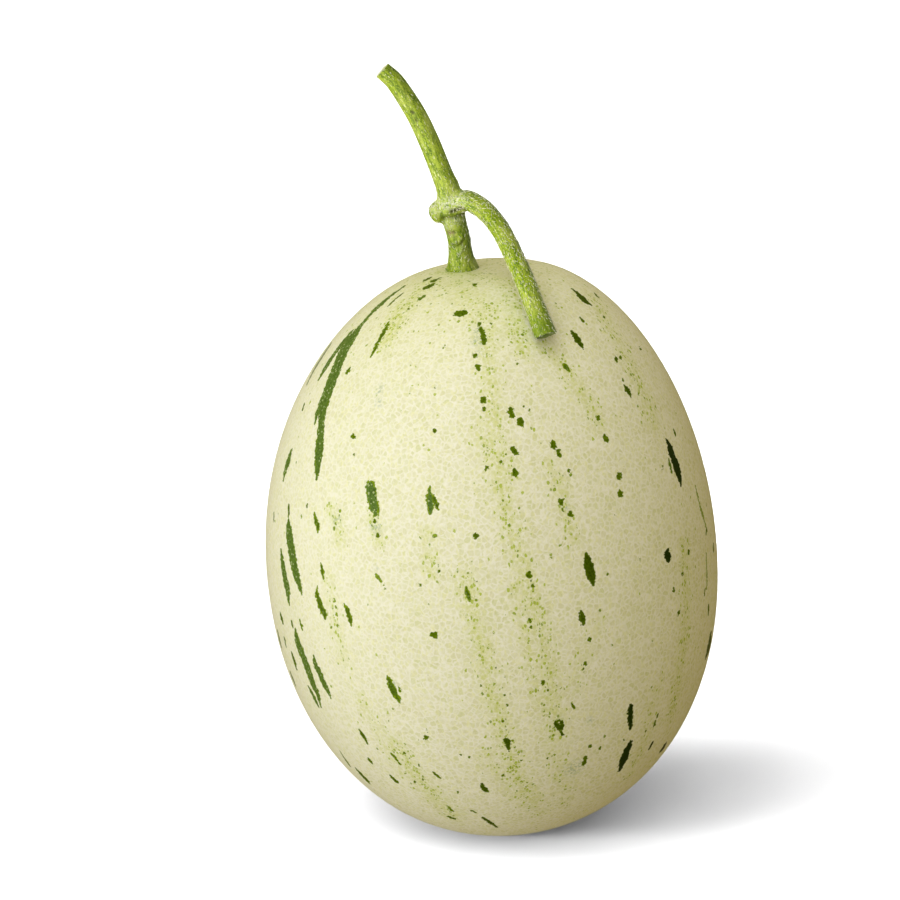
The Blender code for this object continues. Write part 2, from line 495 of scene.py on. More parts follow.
@dataclass(frozen=True)
class RindFinish:
    """The waxy ivory skin: its pale net and cells, its flecks, and the green marks.

    A grain is a noise's size, detail and roughness, a warp is a size and an amount, and a length is the share
    that heights are lessened to, which draws a pattern out by as much. A pair that goes to slope is its
    steepness and its start, and relief is what bump takes. The other groups are smooth steps: where one starts
    and ends and, where it doesn't go from 0 to 1, what it goes from and to.
    """

    net_colour: Colour = (0.94, 0.965, 0.865, 1.0)
    cell_colour: Colour = (0.72, 0.745, 0.49, 1.0)
    green_cell_colour: Colour = (0.695, 0.745, 0.435, 1.0)
    # The skin's own yellow-green tint, made lighter as painted light round the stalk, where the stalk and vine
    # throw shade
    stalk_end_tint_and_painted_light: Colour = (0.83, 0.865, 0.45, 1.0)
    band_colour: Colour = (0.60, 0.68, 0.15, 1.0)
    pale_fleck: Colour = (0.44, 0.565, 0.055, 1.0)
    dark_fleck: Colour = (0.19, 0.31, 0.008, 1.0)
    mark_colours: tuple[Colour, ...] = (
        (0.018, 0.038, 0.0015, 1.0),
        (0.100, 0.172, 0.003, 1.0),
        (0.120, 0.212, 0.040, 1.0),
        (0.300, 0.440, 0.025, 1.0),
    )
    rim_colour: Colour = (0.20, 0.31, 0.003, 1.0)
    speck_colour: Colour = (0.42, 0.52, 0.24, 1.0)
    faded_colour: Colour = (0.46, 0.56, 0.42, 1.0)
    cork_colour: Colour = (0.36, 0.27, 0.12, 1.0)
    fine_grain: Numbers = (0.6, 3.0, 0.6)
    patch_grain: Numbers = (0.8, 3.0, 0.6)

    cell_size: float = 1.5
    cell_warp: Numbers = (2.4, 0.5)
    cell_fine_warp: Numbers = (0.7, 0.18)
    cell_depth: Numbers = (0.5, 0.5)
    cell_mottling: Numbers = (0.2, 0.7, 0.55, 1.1)
    net_grain: Numbers = (6.0, 2.0)
    net_width: Numbers = (0.20, -0.08)
    net_edge: Numbers = (0.0, 0.2, 1.0, 0.0)
    net_gap_grain: Numbers = (1.0, 3.0, 0.6)
    net_gaps: Numbers = (0.3, 0.62, 0.35, 1.0)
    # On the lit left side the net and cells are pulled to one even depth: painted highlight washout
    lit_side_washout: Numbers = (-62.0, -5.0, 0.4, 0.0)
    lit_side_washout_depth: float = 0.45
    smudge_length: float = 0.55
    smudge_grain: Numbers = (0.8, 2.0, 0.55)
    smudges: Numbers = (0.48, 0.75, 0.0, 0.55)
    stalk_end_share: float = 0.35

    band_grain: Numbers = (0.9, 3.0, 0.62)
    band_patches: Numbers = (0.36, 0.64, 0.06, 0.8)
    fleck_size: float = 0.76
    fleck_length: float = 0.72
    fleck_warp: Numbers = (0.45, 0.16)
    fleck_chance: float = 0.66
    fleck_smallness: float = 1.4
    fleck_reach: Numbers = (0.45, 0.26)
    fleck_edge: Numbers = (-0.05, 0.1)
    fleck_gap: Numbers = (0.02, 0.1)
    fleck_paleness: float = 4.0
    fleck_strength: Numbers = (0.35, 0.6)

    jag_size: float = 0.6
    jag_depth: float = 0.28
    sway_size: float = 1.1
    sway: float = 0.8
    lobe_size: float = 0.95
    lobe_depth: float = 0.75
    lobe_middle: float = 0.47
    mark_edge: Numbers = (-0.07, 0.07)
    mark_mottling: Numbers = (0.36, 0.56)
    shadow_share: float = 0.6
    rim_width: Numbers = (0.22, 0.48, 1.0, 0.0)
    rim_mottling: Numbers = (0.25, 0.45, 0.5, 1.0)
    pore_size: float = 0.75
    pore_reach: Numbers = (0.55, -0.08)
    pore_edge: Numbers = (-0.02, 0.08)
    pore_inset: Numbers = (0.2, 0.4)
    pore_hue: float = 0.9
    wear_share: float = 0.9
    wear: Numbers = (0.62, 0.95)
    faded_patches: Numbers = (0.42, 0.60)
    faded_share: float = 0.8
    cork_patches: Numbers = (0.3, 0.6, 0.55, 1.0)

    roughness: float = 0.42
    cell_roughness: float = -0.06
    cork_roughness: float = 0.3
    shine: float = 0.25
    mark_dullness: float = 0.9
    mark_rise: float = -0.4
    cell_rise: float = -0.5
    wave_grain: Numbers = (1.4, 2.0)
    wave_rise: float = 0.6
    relief: Numbers = (0.06, 0.5)

    def ground(self, make: Recipe) -> tuple[Socket, Socket]:
        """Return the colour of the unmarked skin, and how far each place is inside its cell.

        Args:
            make: the material in the making.

        Returns:
            The colour's socket, and the socket that goes from 0 on the net to 1 in a cell.
        """
        place = make.warped(make.warped(make.place, *self.cell_warp), *self.cell_fine_warp)
        cell = make.cells(place, self.cell_size)
        edge = make.cells(place, self.cell_size, "DISTANCE_TO_EDGE").outputs["Distance"]
        width = make.slope(make.noise(make.place, *self.net_grain), *self.net_width)
        line = make.step(make.minus(edge, width), *self.net_edge)
        gaps = make.step(make.noise(make.place, *self.net_gap_grain), *self.net_gaps)
        inside = make.minus(1.0, make.times(line, gaps))
        tone, chance, _ = make.split(cell.outputs["Color"])
        mottling = make.step(make.noise(make.place, *self.fine_grain), *self.cell_mottling)
        inside = make.times(inside, make.times(make.slope(chance, *self.cell_depth), mottling), clamp=True)
        # Towards the lit left side the net is flattened to an even depth, as painted highlight washout
        calm = make.step(make.split(make.place)[0], *self.lit_side_washout)
        inside = make.slope(make.minus(self.lit_side_washout_depth, inside), calm, inside)
        cell_colour = make.mix(tone, self.cell_colour, self.green_cell_colour)
        colour = make.mix(inside, self.net_colour, cell_colour)
        # Smudges and the skin round the stalk take this tint; round the stalk it is also painted light
        streaky = make.noise(make.drawn_out(make.place, self.smudge_length), *self.smudge_grain)
        near_stalk = make.times(make.attribute("stalk_end"), self.stalk_end_share)
        tint = make.plus(make.step(streaky, *self.smudges), near_stalk, clamp=True)
        return make.mix(tint, colour, self.stalk_end_tint_and_painted_light), inside

    def flecks(self, make: Recipe, ground: Socket) -> Socket:
        """Return the ground with the green bands and their flecks on it.

        Args:
            make: the material in the making.
            ground: the colour of the unmarked skin.

        Returns:
            The colour's socket.
        """
        density = make.attribute("flecks")
        patches = make.step(make.noise(make.place, *self.band_grain), *self.band_patches)
        colour = make.mix(make.times(density, patches), ground, self.band_colour)
        place = make.warped(make.drawn_out(make.place, self.fleck_length), *self.fleck_warp)
        cell = make.cells(place, self.fleck_size)
        edge = make.cells(place, self.fleck_size, "DISTANCE_TO_EDGE").outputs["Distance"]
        chance, size, depth = make.split(cell.outputs["Color"])
        there = make.math("LESS_THAN", chance, make.times(density, self.fleck_chance))
        reach = make.slope(make.math("POWER", size, self.fleck_smallness), *self.fleck_reach)
        dot = make.step(make.minus(reach, cell.outputs["Distance"]), *self.fleck_edge)
        dot = make.times(make.times(dot, make.step(edge, *self.fleck_gap)), there)
        fleck = make.mix(make.math("POWER", depth, self.fleck_paleness), self.pale_fleck, self.dark_fleck)
        return make.mix(make.times(dot, make.slope(size, *self.fleck_strength)), colour, fleck)

    def mark_colour(self, make: Recipe, hue: Socket, fine: Socket) -> Socket:
        """Return the inner colour of the marks, from nearly black through green and sage to pale olive.

        Args:
            make: the material in the making.
            hue: the mark's number from MarkHue.
            fine: the noise that mottles it.

        Returns:
            The colour's socket.
        """
        colour: object = self.mark_colours[0]
        for number, further in enumerate(self.mark_colours[1:]):
            colour = make.mix(make.minus(hue, float(number), clamp=True), colour, further)
        dark = make.vector("SCALE", colour, scale=self.shadow_share)
        return make.mix(make.step(fine, *self.mark_mottling), dark, colour)

    def mark_inset(self, make: Recipe) -> Socket:
        """Return how far inside the nearest mark's edge each place is, where the edge is jagged and lobed.

        Args:
            make: the material in the making.

        Returns:
            The socket of the distance in millimetres, less than nothing outside the mark.
        """
        beyond, across, half_width = make.split(make.attribute("mark_place", "Vector"))
        beyond = make.math("MAXIMUM", beyond, 0.0)
        off = make.math("SQRT", make.plus(make.math("POWER", across, 2.0), make.math("POWER", beyond, 2.0)))
        jag = make.minus(make.split(make.cells(make.place, self.jag_size).outputs["Color"])[0], 0.5)
        wave = make.minus(make.noise(make.place, self.sway_size), 0.5)
        lobe = make.minus(self.lobe_middle, make.cells(make.place, self.lobe_size).outputs["Distance"])
        edge = half_width
        for unevenness, depth in ((jag, self.jag_depth), (wave, self.sway), (lobe, self.lobe_depth)):
            edge = make.slope(unevenness, make.math("MINIMUM", depth, half_width), edge)
        return make.minus(edge, off)

    def marks(self, make: Recipe, ground: Socket) -> tuple[Socket, Socket]:
        """Return the ground with the green marks on it, and where they are.

        Args:
            make: the material in the making.
            ground: the colour of the skin with its flecks.

        Returns:
            The colour's socket, and the socket of how strongly a mark shows.
        """
        inset = self.mark_inset(make)
        hue, rim, strength = make.split(make.attribute("mark_look", "Vector"))
        fine = make.noise(make.place, *self.fine_grain)
        near_edge = make.times(make.step(inset, *self.rim_width), rim)
        olive = make.times(near_edge, make.step(fine, *self.rim_mottling))
        colour = make.mix(olive, self.mark_colour(make, hue, fine), self.rim_colour)
        pore = make.cells(make.place, self.pore_size)
        reach = make.slope(make.split(pore.outputs["Color"])[1], *self.pore_reach)
        speck = make.step(make.minus(reach, pore.outputs["Distance"]), *self.pore_edge)
        green = make.minus(hue, self.pore_hue, clamp=True)
        mottled = make.times(green, make.step(inset, *self.pore_inset))
        colour = make.mix(make.times(speck, mottled), colour, self.speck_colour)
        worn = make.step(make.plus(fine, make.times(strength, self.wear_share)), *self.wear)
        shown = make.times(make.step(inset, *self.mark_edge), make.times(worn, strength))
        return make.mix(shown, ground, colour), shown

    def material(self) -> bpy.types.Material:
        """Return the rind's material."""
        make = Recipe("rind_skin")
        ground, inside = self.ground(make)
        colour = self.flecks(make, ground)
        patch = make.noise(make.place, *self.patch_grain)
        faded = make.times(make.attribute("faded"), make.step(patch, *self.faded_patches))
        colour = make.mix(make.times(faded, self.faded_share), colour, self.faded_colour)
        colour, shown = self.marks(make, colour)
        cork = make.times(make.attribute("cork"), make.step(patch, *self.cork_patches))
        colour = make.mix(cork, colour, self.cork_colour)
        rough = make.slope(cork, self.cork_roughness, make.slope(inside, self.cell_roughness, self.roughness))
        make.coat(colour, rough, make.slope(shown, -self.mark_dullness * self.shine, self.shine))
        height = make.slope(shown, self.mark_rise, make.times(inside, self.cell_rise))
        height = make.slope(make.noise(make.place, *self.wave_grain), self.wave_rise, height)
        make.bump(height, *self.relief)
        return make.material


@dataclass(frozen=True)
class VineFinish:
    """The fresh green skin of the stalk and the vine, its cut ends and its scars, and painted shade low on the
    stalk, in the creases under the node and round the right length's tip.

    Its grains, warps, lengths, slopes and steps are written as the rind's are.
    """

    deep_green: Colour = (0.10, 0.18, 0.002, 1.0)
    fresh_green: Colour = (0.40, 0.51, 0.024, 1.0)
    pale_green: Colour = (0.66, 0.70, 0.14, 1.0)
    stroke_colour: Colour = (0.81, 0.84, 0.35, 1.0)
    scuff_colour: Colour = (0.76, 0.76, 0.54, 1.0)
    cut_colour: Colour = (0.72, 0.72, 0.40, 1.0)
    # The right length's tip and its cut face take this dark green as painted shade
    tip_colour: Colour = (0.13, 0.20, 0.004, 1.0)
    scar_colour: Colour = (0.25, 0.17, 0.09, 1.0)
    # Nearly black: the stem's own pits, and painted shade in the creases under the node
    pit_and_crease_shade_colour: Colour = (0.06, 0.06, 0.012, 1.0)
    fibre_length: float = 0.2
    fibre_grain: Numbers = (0.6, 3.0, 0.6)
    skin_grain: Numbers = (0.34, 2.0, 0.6)
    fresh: Numbers = (0.8, 1.15)
    pale_length: float = 0.33
    pale_grain: Numbers = (2.6, 2.0)
    pale: Numbers = (0.42, 0.75)
    pale_share: float = 0.45
    stroke_size: float = 0.42
    stroke_warp: Numbers = (0.8, 0.12)
    stroke_reach: Numbers = (0.2, 0.26)
    stroke_edge: Numbers = (-0.05, 0.12)
    stroke_chance: float = 0.45
    stroke_strength: Numbers = (0.55, 0.4)
    patch_grain: Numbers = (0.6, 3.0, 0.65)
    scuffs: Numbers = (0.42, 0.60)
    scuff_share: float = 0.85
    # Painted shade low on the stalk, under the node and arm, darkens it towards deep green in patches
    stalk_shade_patches: Numbers = (0.3, 0.7, 1.0, 0.6)
    # How patchy the painted shade near the right length's tip is
    shaded_tip_patches: Numbers = (0.3, 0.7, 1.0, 0.7)
    scars: Numbers = (0.3, 0.62)
    roughness: float = 0.5
    shine: float = 0.3
    relief: Numbers = (0.12, 0.6)

    def skin(self, make: Recipe) -> tuple[Socket, Socket]:
        """Return the colour of the sound skin, and how far its fibres stand up.

        Args:
            make: the material in the making.

        Returns:
            The sockets of the colour and of the relief.
        """
        straight = make.attribute("straight", "Vector")
        fibre = make.noise(make.drawn_out(straight, self.fibre_length), *self.fibre_grain)
        grain = make.noise(make.place, *self.skin_grain)
        colour = make.mix(make.step(make.plus(fibre, grain), *self.fresh), self.deep_green, self.fresh_green)
        stretched = make.drawn_out(straight, self.pale_length)
        pale = make.step(make.noise(stretched, *self.pale_grain), *self.pale)
        colour = make.mix(make.times(pale, self.pale_share), colour, self.pale_green)
        cell = make.cells(make.warped(stretched, *self.stroke_warp), self.stroke_size)
        chance, size, strength = make.split(cell.outputs["Color"])
        reach = make.slope(size, *self.stroke_reach)
        stroke = make.step(make.minus(reach, cell.outputs["Distance"]), *self.stroke_edge)
        stroke = make.times(stroke, make.math("LESS_THAN", chance, self.stroke_chance))
        stroke = make.times(stroke, make.slope(strength, *self.stroke_strength))
        return make.mix(stroke, colour, self.stroke_colour), make.plus(grain, stroke)

    def material(self) -> bpy.types.Material:
        """Return the stem's material."""
        make = Recipe("vine_skin")
        colour, height = self.skin(make)
        scuff, scar, pit_and_crease_shade = make.split(make.attribute("wear", "Vector"))
        cut, tip, low = make.split(make.attribute("cut_and_shade", "Vector"))
        patches = make.noise(make.place, *self.patch_grain)
        scuffed = make.times(make.times(scuff, make.step(patches, *self.scuffs)), self.scuff_share)
        colour = make.mix(scuffed, colour, self.scuff_colour)
        # Painted shade darkens the low stalk and the right length's tip; the scars are the stem's own colour
        for share, where, tone in (
            (low, self.stalk_shade_patches, self.deep_green),
            (tip, self.shaded_tip_patches, self.tip_colour),
            (scar, self.scars, self.scar_colour),
        ):
            colour = make.mix(make.times(share, make.step(patches, *where)), colour, tone)
        # Pits are the stem's own colour; the dark creases under the node are painted shade
        colour = make.mix(pit_and_crease_shade, colour, self.pit_and_crease_shade_colour)
        # Cut faces are pale, but near the right length's tip the cut face takes the tip's dark green: painted
        # shade
        colour = make.mix(cut, colour, make.mix(tip, self.cut_colour, self.tip_colour))
        make.coat(colour, self.roughness, self.shine)
        make.bump(height, *self.relief)
        return make.material


@dataclass(frozen=True)
class HairFinish:
    """The short white hairs of a young vine."""

    base_colour: Colour = (0.80, 0.80, 0.40, 1.0)
    tip_colour: Colour = (0.95, 0.93, 0.68, 1.0)
    patch_size: float = 0.9
    patch_share: float = 0.5
    whitening: Numbers = (0.2, 0.9)
    roughness: float = 0.45
    shine: float = 0.2

    def material(self) -> bpy.types.Material:
        """Return the hairs' material, greener at their roots."""
        make = Recipe("vine_hair")
        patches = make.noise(make.place, self.patch_size)
        varied = make.slope(patches, self.patch_share, make.attribute("to_tip"))
        colour = make.mix(make.step(varied, *self.whitening), self.base_colour, self.tip_colour)
        make.coat(colour, self.roughness, self.shine)
        return make.material


# The fruit


@dataclass(frozen=True)
class MelonForm:
    """The fruit's shape: an upright oval that bows and leans, pressed in a little at the stalk end."""

    equator_radius: float = 63.96
    height_to_stalk: float = 87.8
    height_to_blossom: float = 80.0
    fullness_to_stalk: float = 2.0
    fullness_to_blossom: float = 2.13
    shoulder_depth: float = 3.8
    shoulder_width: float = 16.8
    bow: float = 2.1
    bow_skew: float = 2.55
    lean_left_deg: float = 5.1
    lean_forward_deg: float = 3.0
    equator_centre: Triple = (-1.4, -0.9, 78.6)

    @property
    def flattening(self) -> float:
        """How much less a point's height counts than its breadth in the skin's outward direction there."""
        return (self.equator_radius / self.height_to_stalk) ** 2

    def surface(self, directions: np.ndarray) -> np.ndarray:
        """Return points of the skin.

        Args:
            directions: unit directions in the fruit's own upright frame, one row each.

        Returns:
            The points in millimetres, placed in the row's frame.
        """
        upward = directions[:, 2]
        level = np.maximum(np.hypot(directions[:, 0], directions[:, 1]), 1e-9)
        above = upward > 0
        power = 2 / np.where(above, self.fullness_to_stalk, self.fullness_to_blossom)
        height = np.where(above, self.height_to_stalk, -self.height_to_blossom) * np.abs(upward) ** power
        across = self.equator_radius * level**power
        height -= np.where(above, self.shoulder_depth * fade(across, self.shoulder_width), 0.0)
        share = height / self.height_to_stalk
        x = across * directions[:, 0] / level + self.bow * share**2 + self.bow_skew * share**3
        y = across * directions[:, 1] / level
        turn = Matrix.Rotation(radians(self.lean_forward_deg), 3, "X")
        turn = turn @ Matrix.Rotation(-radians(self.lean_left_deg), 3, "Y")
        return np.stack([x, y, height], 1) @ np.array(turn).T + np.array(self.equator_centre)

    def at(self, polar_deg: float, around_deg: float) -> np.ndarray:
        """Return the point of the skin at an angle from the stalk end and an angle round from the right."""
        polar, around = radians(polar_deg), radians(around_deg)
        direction = [[sin(polar) * cos(around), sin(polar) * sin(around), cos(polar)]]
        return self.surface(np.array(direction))[0]


class MarkHue(Enum):
    """The green of a mark, from nearly black (0) to pale olive (3), and how much of an olive rim it has."""

    BLACKISH = (0.0, 0.15)
    DARK = (0.55, 0.3)
    DEEP = (0.95, 0.4)
    GREEN = (1.75, 0.6)
    SAGE = (2.0, 1.0)
    OLIVE = (1.15, 1.0)
    PALE = (2.75, 0.0)


@dataclass(frozen=True)
class PhotoMark:
    """A green mark that the photograph shows, as rows of its middle line and its width, in pixels."""

    hue: MarkHue
    line: Line
    strength: float = 1.0

    @classmethod
    def alike(cls, hue: MarkHue, lines: Iterable[Line], strength: float = 1.0) -> Iterable["PhotoMark"]:
        """Yield marks of one hue and strength along the given lines."""
        for line in lines:
            yield cls(hue, line, strength)

    @classmethod
    def spot(cls, hue: MarkHue, across: float, down: float, width: float) -> "PhotoMark":
        """Return a round spot, whose line is short enough not to show."""
        half_line = 0.12 * width
        middle = (across + 0.1, down, width)
        return cls(hue, ((across, down - half_line, width), middle, (across, down + half_line, width)))


@dataclass(frozen=True)
class Mark:
    """A green mark on the rind, with its middle line, the skin's normals there and its half widths."""

    line: np.ndarray
    normals: np.ndarray
    half_widths: np.ndarray
    hue: MarkHue
    strength: float = 1.0

    def reach(self) -> float:
        """Return the radius of a ball round the middle of the line that holds the whole mark."""
        return float(distances(self.line, self.middle()).max() + self.half_widths.max())

    def middle(self) -> np.ndarray:
        """Return the mean place of the line."""
        return self.line.mean(0)

    def coordinates(self, places: np.ndarray) -> np.ndarray:
        """Return places relative to the mark.

        Args:
            places: the places in millimetres, one row each.

        Returns:
            One row for each place: how far it lies beyond the nearer end of the mark, which is less than
            nothing within its length, how far to its side, and the mark's half width there.
        """
        run = path_run(self.line)
        whole, last = run[-1], len(run) - 2
        nearest = np.full(len(places), FAR_MM)
        found = np.zeros((len(places), 3))
        for index, (start, end) in enumerate(zip(self.line, self.line[1:])):
            length = run[index + 1] - run[index]
            direction = (end - start) / length
            offset = places - start
            ahead = offset @ direction
            low = ahead if index == 0 else np.maximum(ahead, 0.0)
            held = low if index == last else np.minimum(low, length)
            gap = np.abs(ahead - held) + lengths(offset - ahead[:, None] * direction)
            along = run[index] + held
            width = np.interp(along, run, self.half_widths)
            across = offset @ np.cross(self.normals[index], direction)
            rows = np.stack([np.maximum(-along, along - whole), across, width], 1)
            closer = gap < nearest
            nearest = np.where(closer, gap, nearest)
            found = np.where(closer[:, None], rows, found)
        return found


# Most streaks on the lit left side get the lighter green and sage hues: partly their own colour, partly
# painted sheen
LEFT_STREAKS = (
    *PhotoMark.alike(MarkHue.GREEN, lines=(
        ((404.5, 286, 1.2), (392, 295, 2.2), (382, 303.5, 3.2), (372, 312.6, 2.8), (362.4, 323.8, 2.6),
         (358, 329, 4.2), (351, 338.6, 7.5), (342.8, 352.6, 8.6), (335, 372, 9.3), (328.8, 389, 9),
         (324, 402, 10), (322, 412, 9.5), (321.7, 421.4, 6.5), (320.3, 435.4, 7.5), (319, 453.6, 8.3),
         (317.5, 467.7, 6), (316.8, 479, 2)),
        ((318, 410, 4), (316.5, 417, 3.2), (314.7, 424, 1.2)),
        ((352, 331.5, 2), (342.8, 342.8, 3.6), (334.4, 354, 3), (326, 366.6, 3.4), (319, 379, 1.2)),
        ((424, 296, 2), (420, 299, 3.2)),
        ((291.8, 449.5, 1.2), (288.3, 460.6, 4.2), (285.3, 470.5, 3.2), (283.4, 480, 1.2)),
        ((288.5, 520, 1.8), (288.6, 526, 5), (289, 532, 6.3), (290.6, 545, 7), (293, 560, 7.2),
         (296.4, 575.7, 6.8), (299.5, 585, 4.6), (302, 594.5, 1.2)),
        ((281, 550, 1.2), (281.8, 558, 3.2), (283.2, 568, 4.5), (285.3, 579, 5), (287.5, 590, 5),
         (288.3, 597.5, 3), (289.3, 605, 1)),
        ((295.5, 629, 1.3), (296.4, 636, 3.8), (298.6, 645, 5.2), (301, 651, 5.6), (305.4, 662.5, 5.6),
         (309.8, 675, 5.5), (314, 686.3, 5), (317.3, 693.8, 4), (319.2, 701, 2.6), (321, 707, 1)),
        ((308.5, 686.3, 1.2), (312.3, 693.8, 2.8), (315.4, 700, 2.8), (318.5, 706.5, 1)),
        ((313.9, 656.5, 2.2), (315.4, 663.8, 4), (319.8, 673.8, 5), (323.5, 682.5, 4.8), (327.3, 690, 4),
         (330.6, 698, 1.2)),
    )),
    *PhotoMark.alike(MarkHue.DEEP, lines=(
        ((403, 293, 0.8), (394.7, 300, 1.5), (387.7, 306.3, 0.7)),
        ((440, 277.8, 1.6), (433, 281.2, 2.6)),
        ((433, 283.5, 2), (429.5, 286, 4.2), (425.6, 288, 3)),
        ((430.5, 277.5, 1.4), (425, 280.3, 2)),
        ((304, 404.5, 1.2), (303, 408.5, 2)),
        ((288.8, 505, 1.2), (288.8, 510, 2.6), (288.4, 517, 1.2)),
        ((280.5, 613.8, 1), (281.7, 618.5, 2.4), (282.8, 623, 1)),
        ((291.5, 621.9, 1.4), (292.8, 627, 1.8)),
        ((291.6, 652.5, 1.2), (294, 660, 2.3), (296.6, 669, 1)),
        ((359.2, 729.3, 1), (362.4, 734.8, 3.7), (365.5, 739.8, 3.5), (367.3, 743.8, 1.2)),
        ((368.2, 758, 1.2), (370, 760.5, 2.8), (372.2, 763.2, 1.2)),
        ((356, 768.5, 0.9), (360.5, 773.5, 2.1), (366.2, 779.7, 2.4), (369, 783, 1.2)),
    )),
    *PhotoMark.alike(MarkHue.OLIVE, lines=(
        ((388.4, 322.4, 2.4), (384.9, 330.2, 4.2), (379.3, 340, 3.4), (375, 348.4, 3.6),
         (370.8, 356.5, 1.4)),
        ((350, 368, 2.2), (347, 372.3, 3)),
        ((314.3, 513, 1.3), (315.3, 518.8, 3.4), (316.5, 522.5, 4.5), (318, 527, 4), (317.8, 532, 1.2)),
        ((320.5, 563, 1.2), (321.5, 568, 3.8), (322.4, 572, 3.8), (323.4, 579, 1.2)),
        ((317.3, 586, 1.2), (316.9, 593, 3.2), (318.8, 600.5, 4.6), (321.9, 609.3, 5.5),
         (324.2, 614.3, 5.5), (324.8, 618, 2.2)),
        ((344.4, 604.3, 1.4), (346.9, 608.6, 4), (348.5, 614.3, 5), (350.3, 620.5, 4.5), (351.3, 625, 2)),
        ((299.6, 620, 1), (300.9, 624, 2.8), (302.4, 630.6, 1)),
    )),
    *PhotoMark.alike(MarkHue.DEEP, strength=0.8, lines=(
        ((330, 345, 1), (322, 357, 1.5), (314, 370, 1.3), (307, 384, 0.8)),
        ((273.8, 514, 1), (273.8, 520, 1.4)),
    )),
    *PhotoMark.alike(MarkHue.DEEP, strength=0.9, lines=(
        ((290.4, 672.5, 0.8), (292.5, 678, 1.4), (294.8, 684, 0.8)),
        ((284.3, 637.5, 0.8), (285.2, 642, 1.5), (286.1, 647, 0.8)),
        ((277.8, 632.5, 0.8), (279.3, 639, 1.2), (280.8, 645, 0.8)),
        ((340.5, 752, 0.8), (345, 759, 1.3), (350, 766, 0.9)),
    )),
)

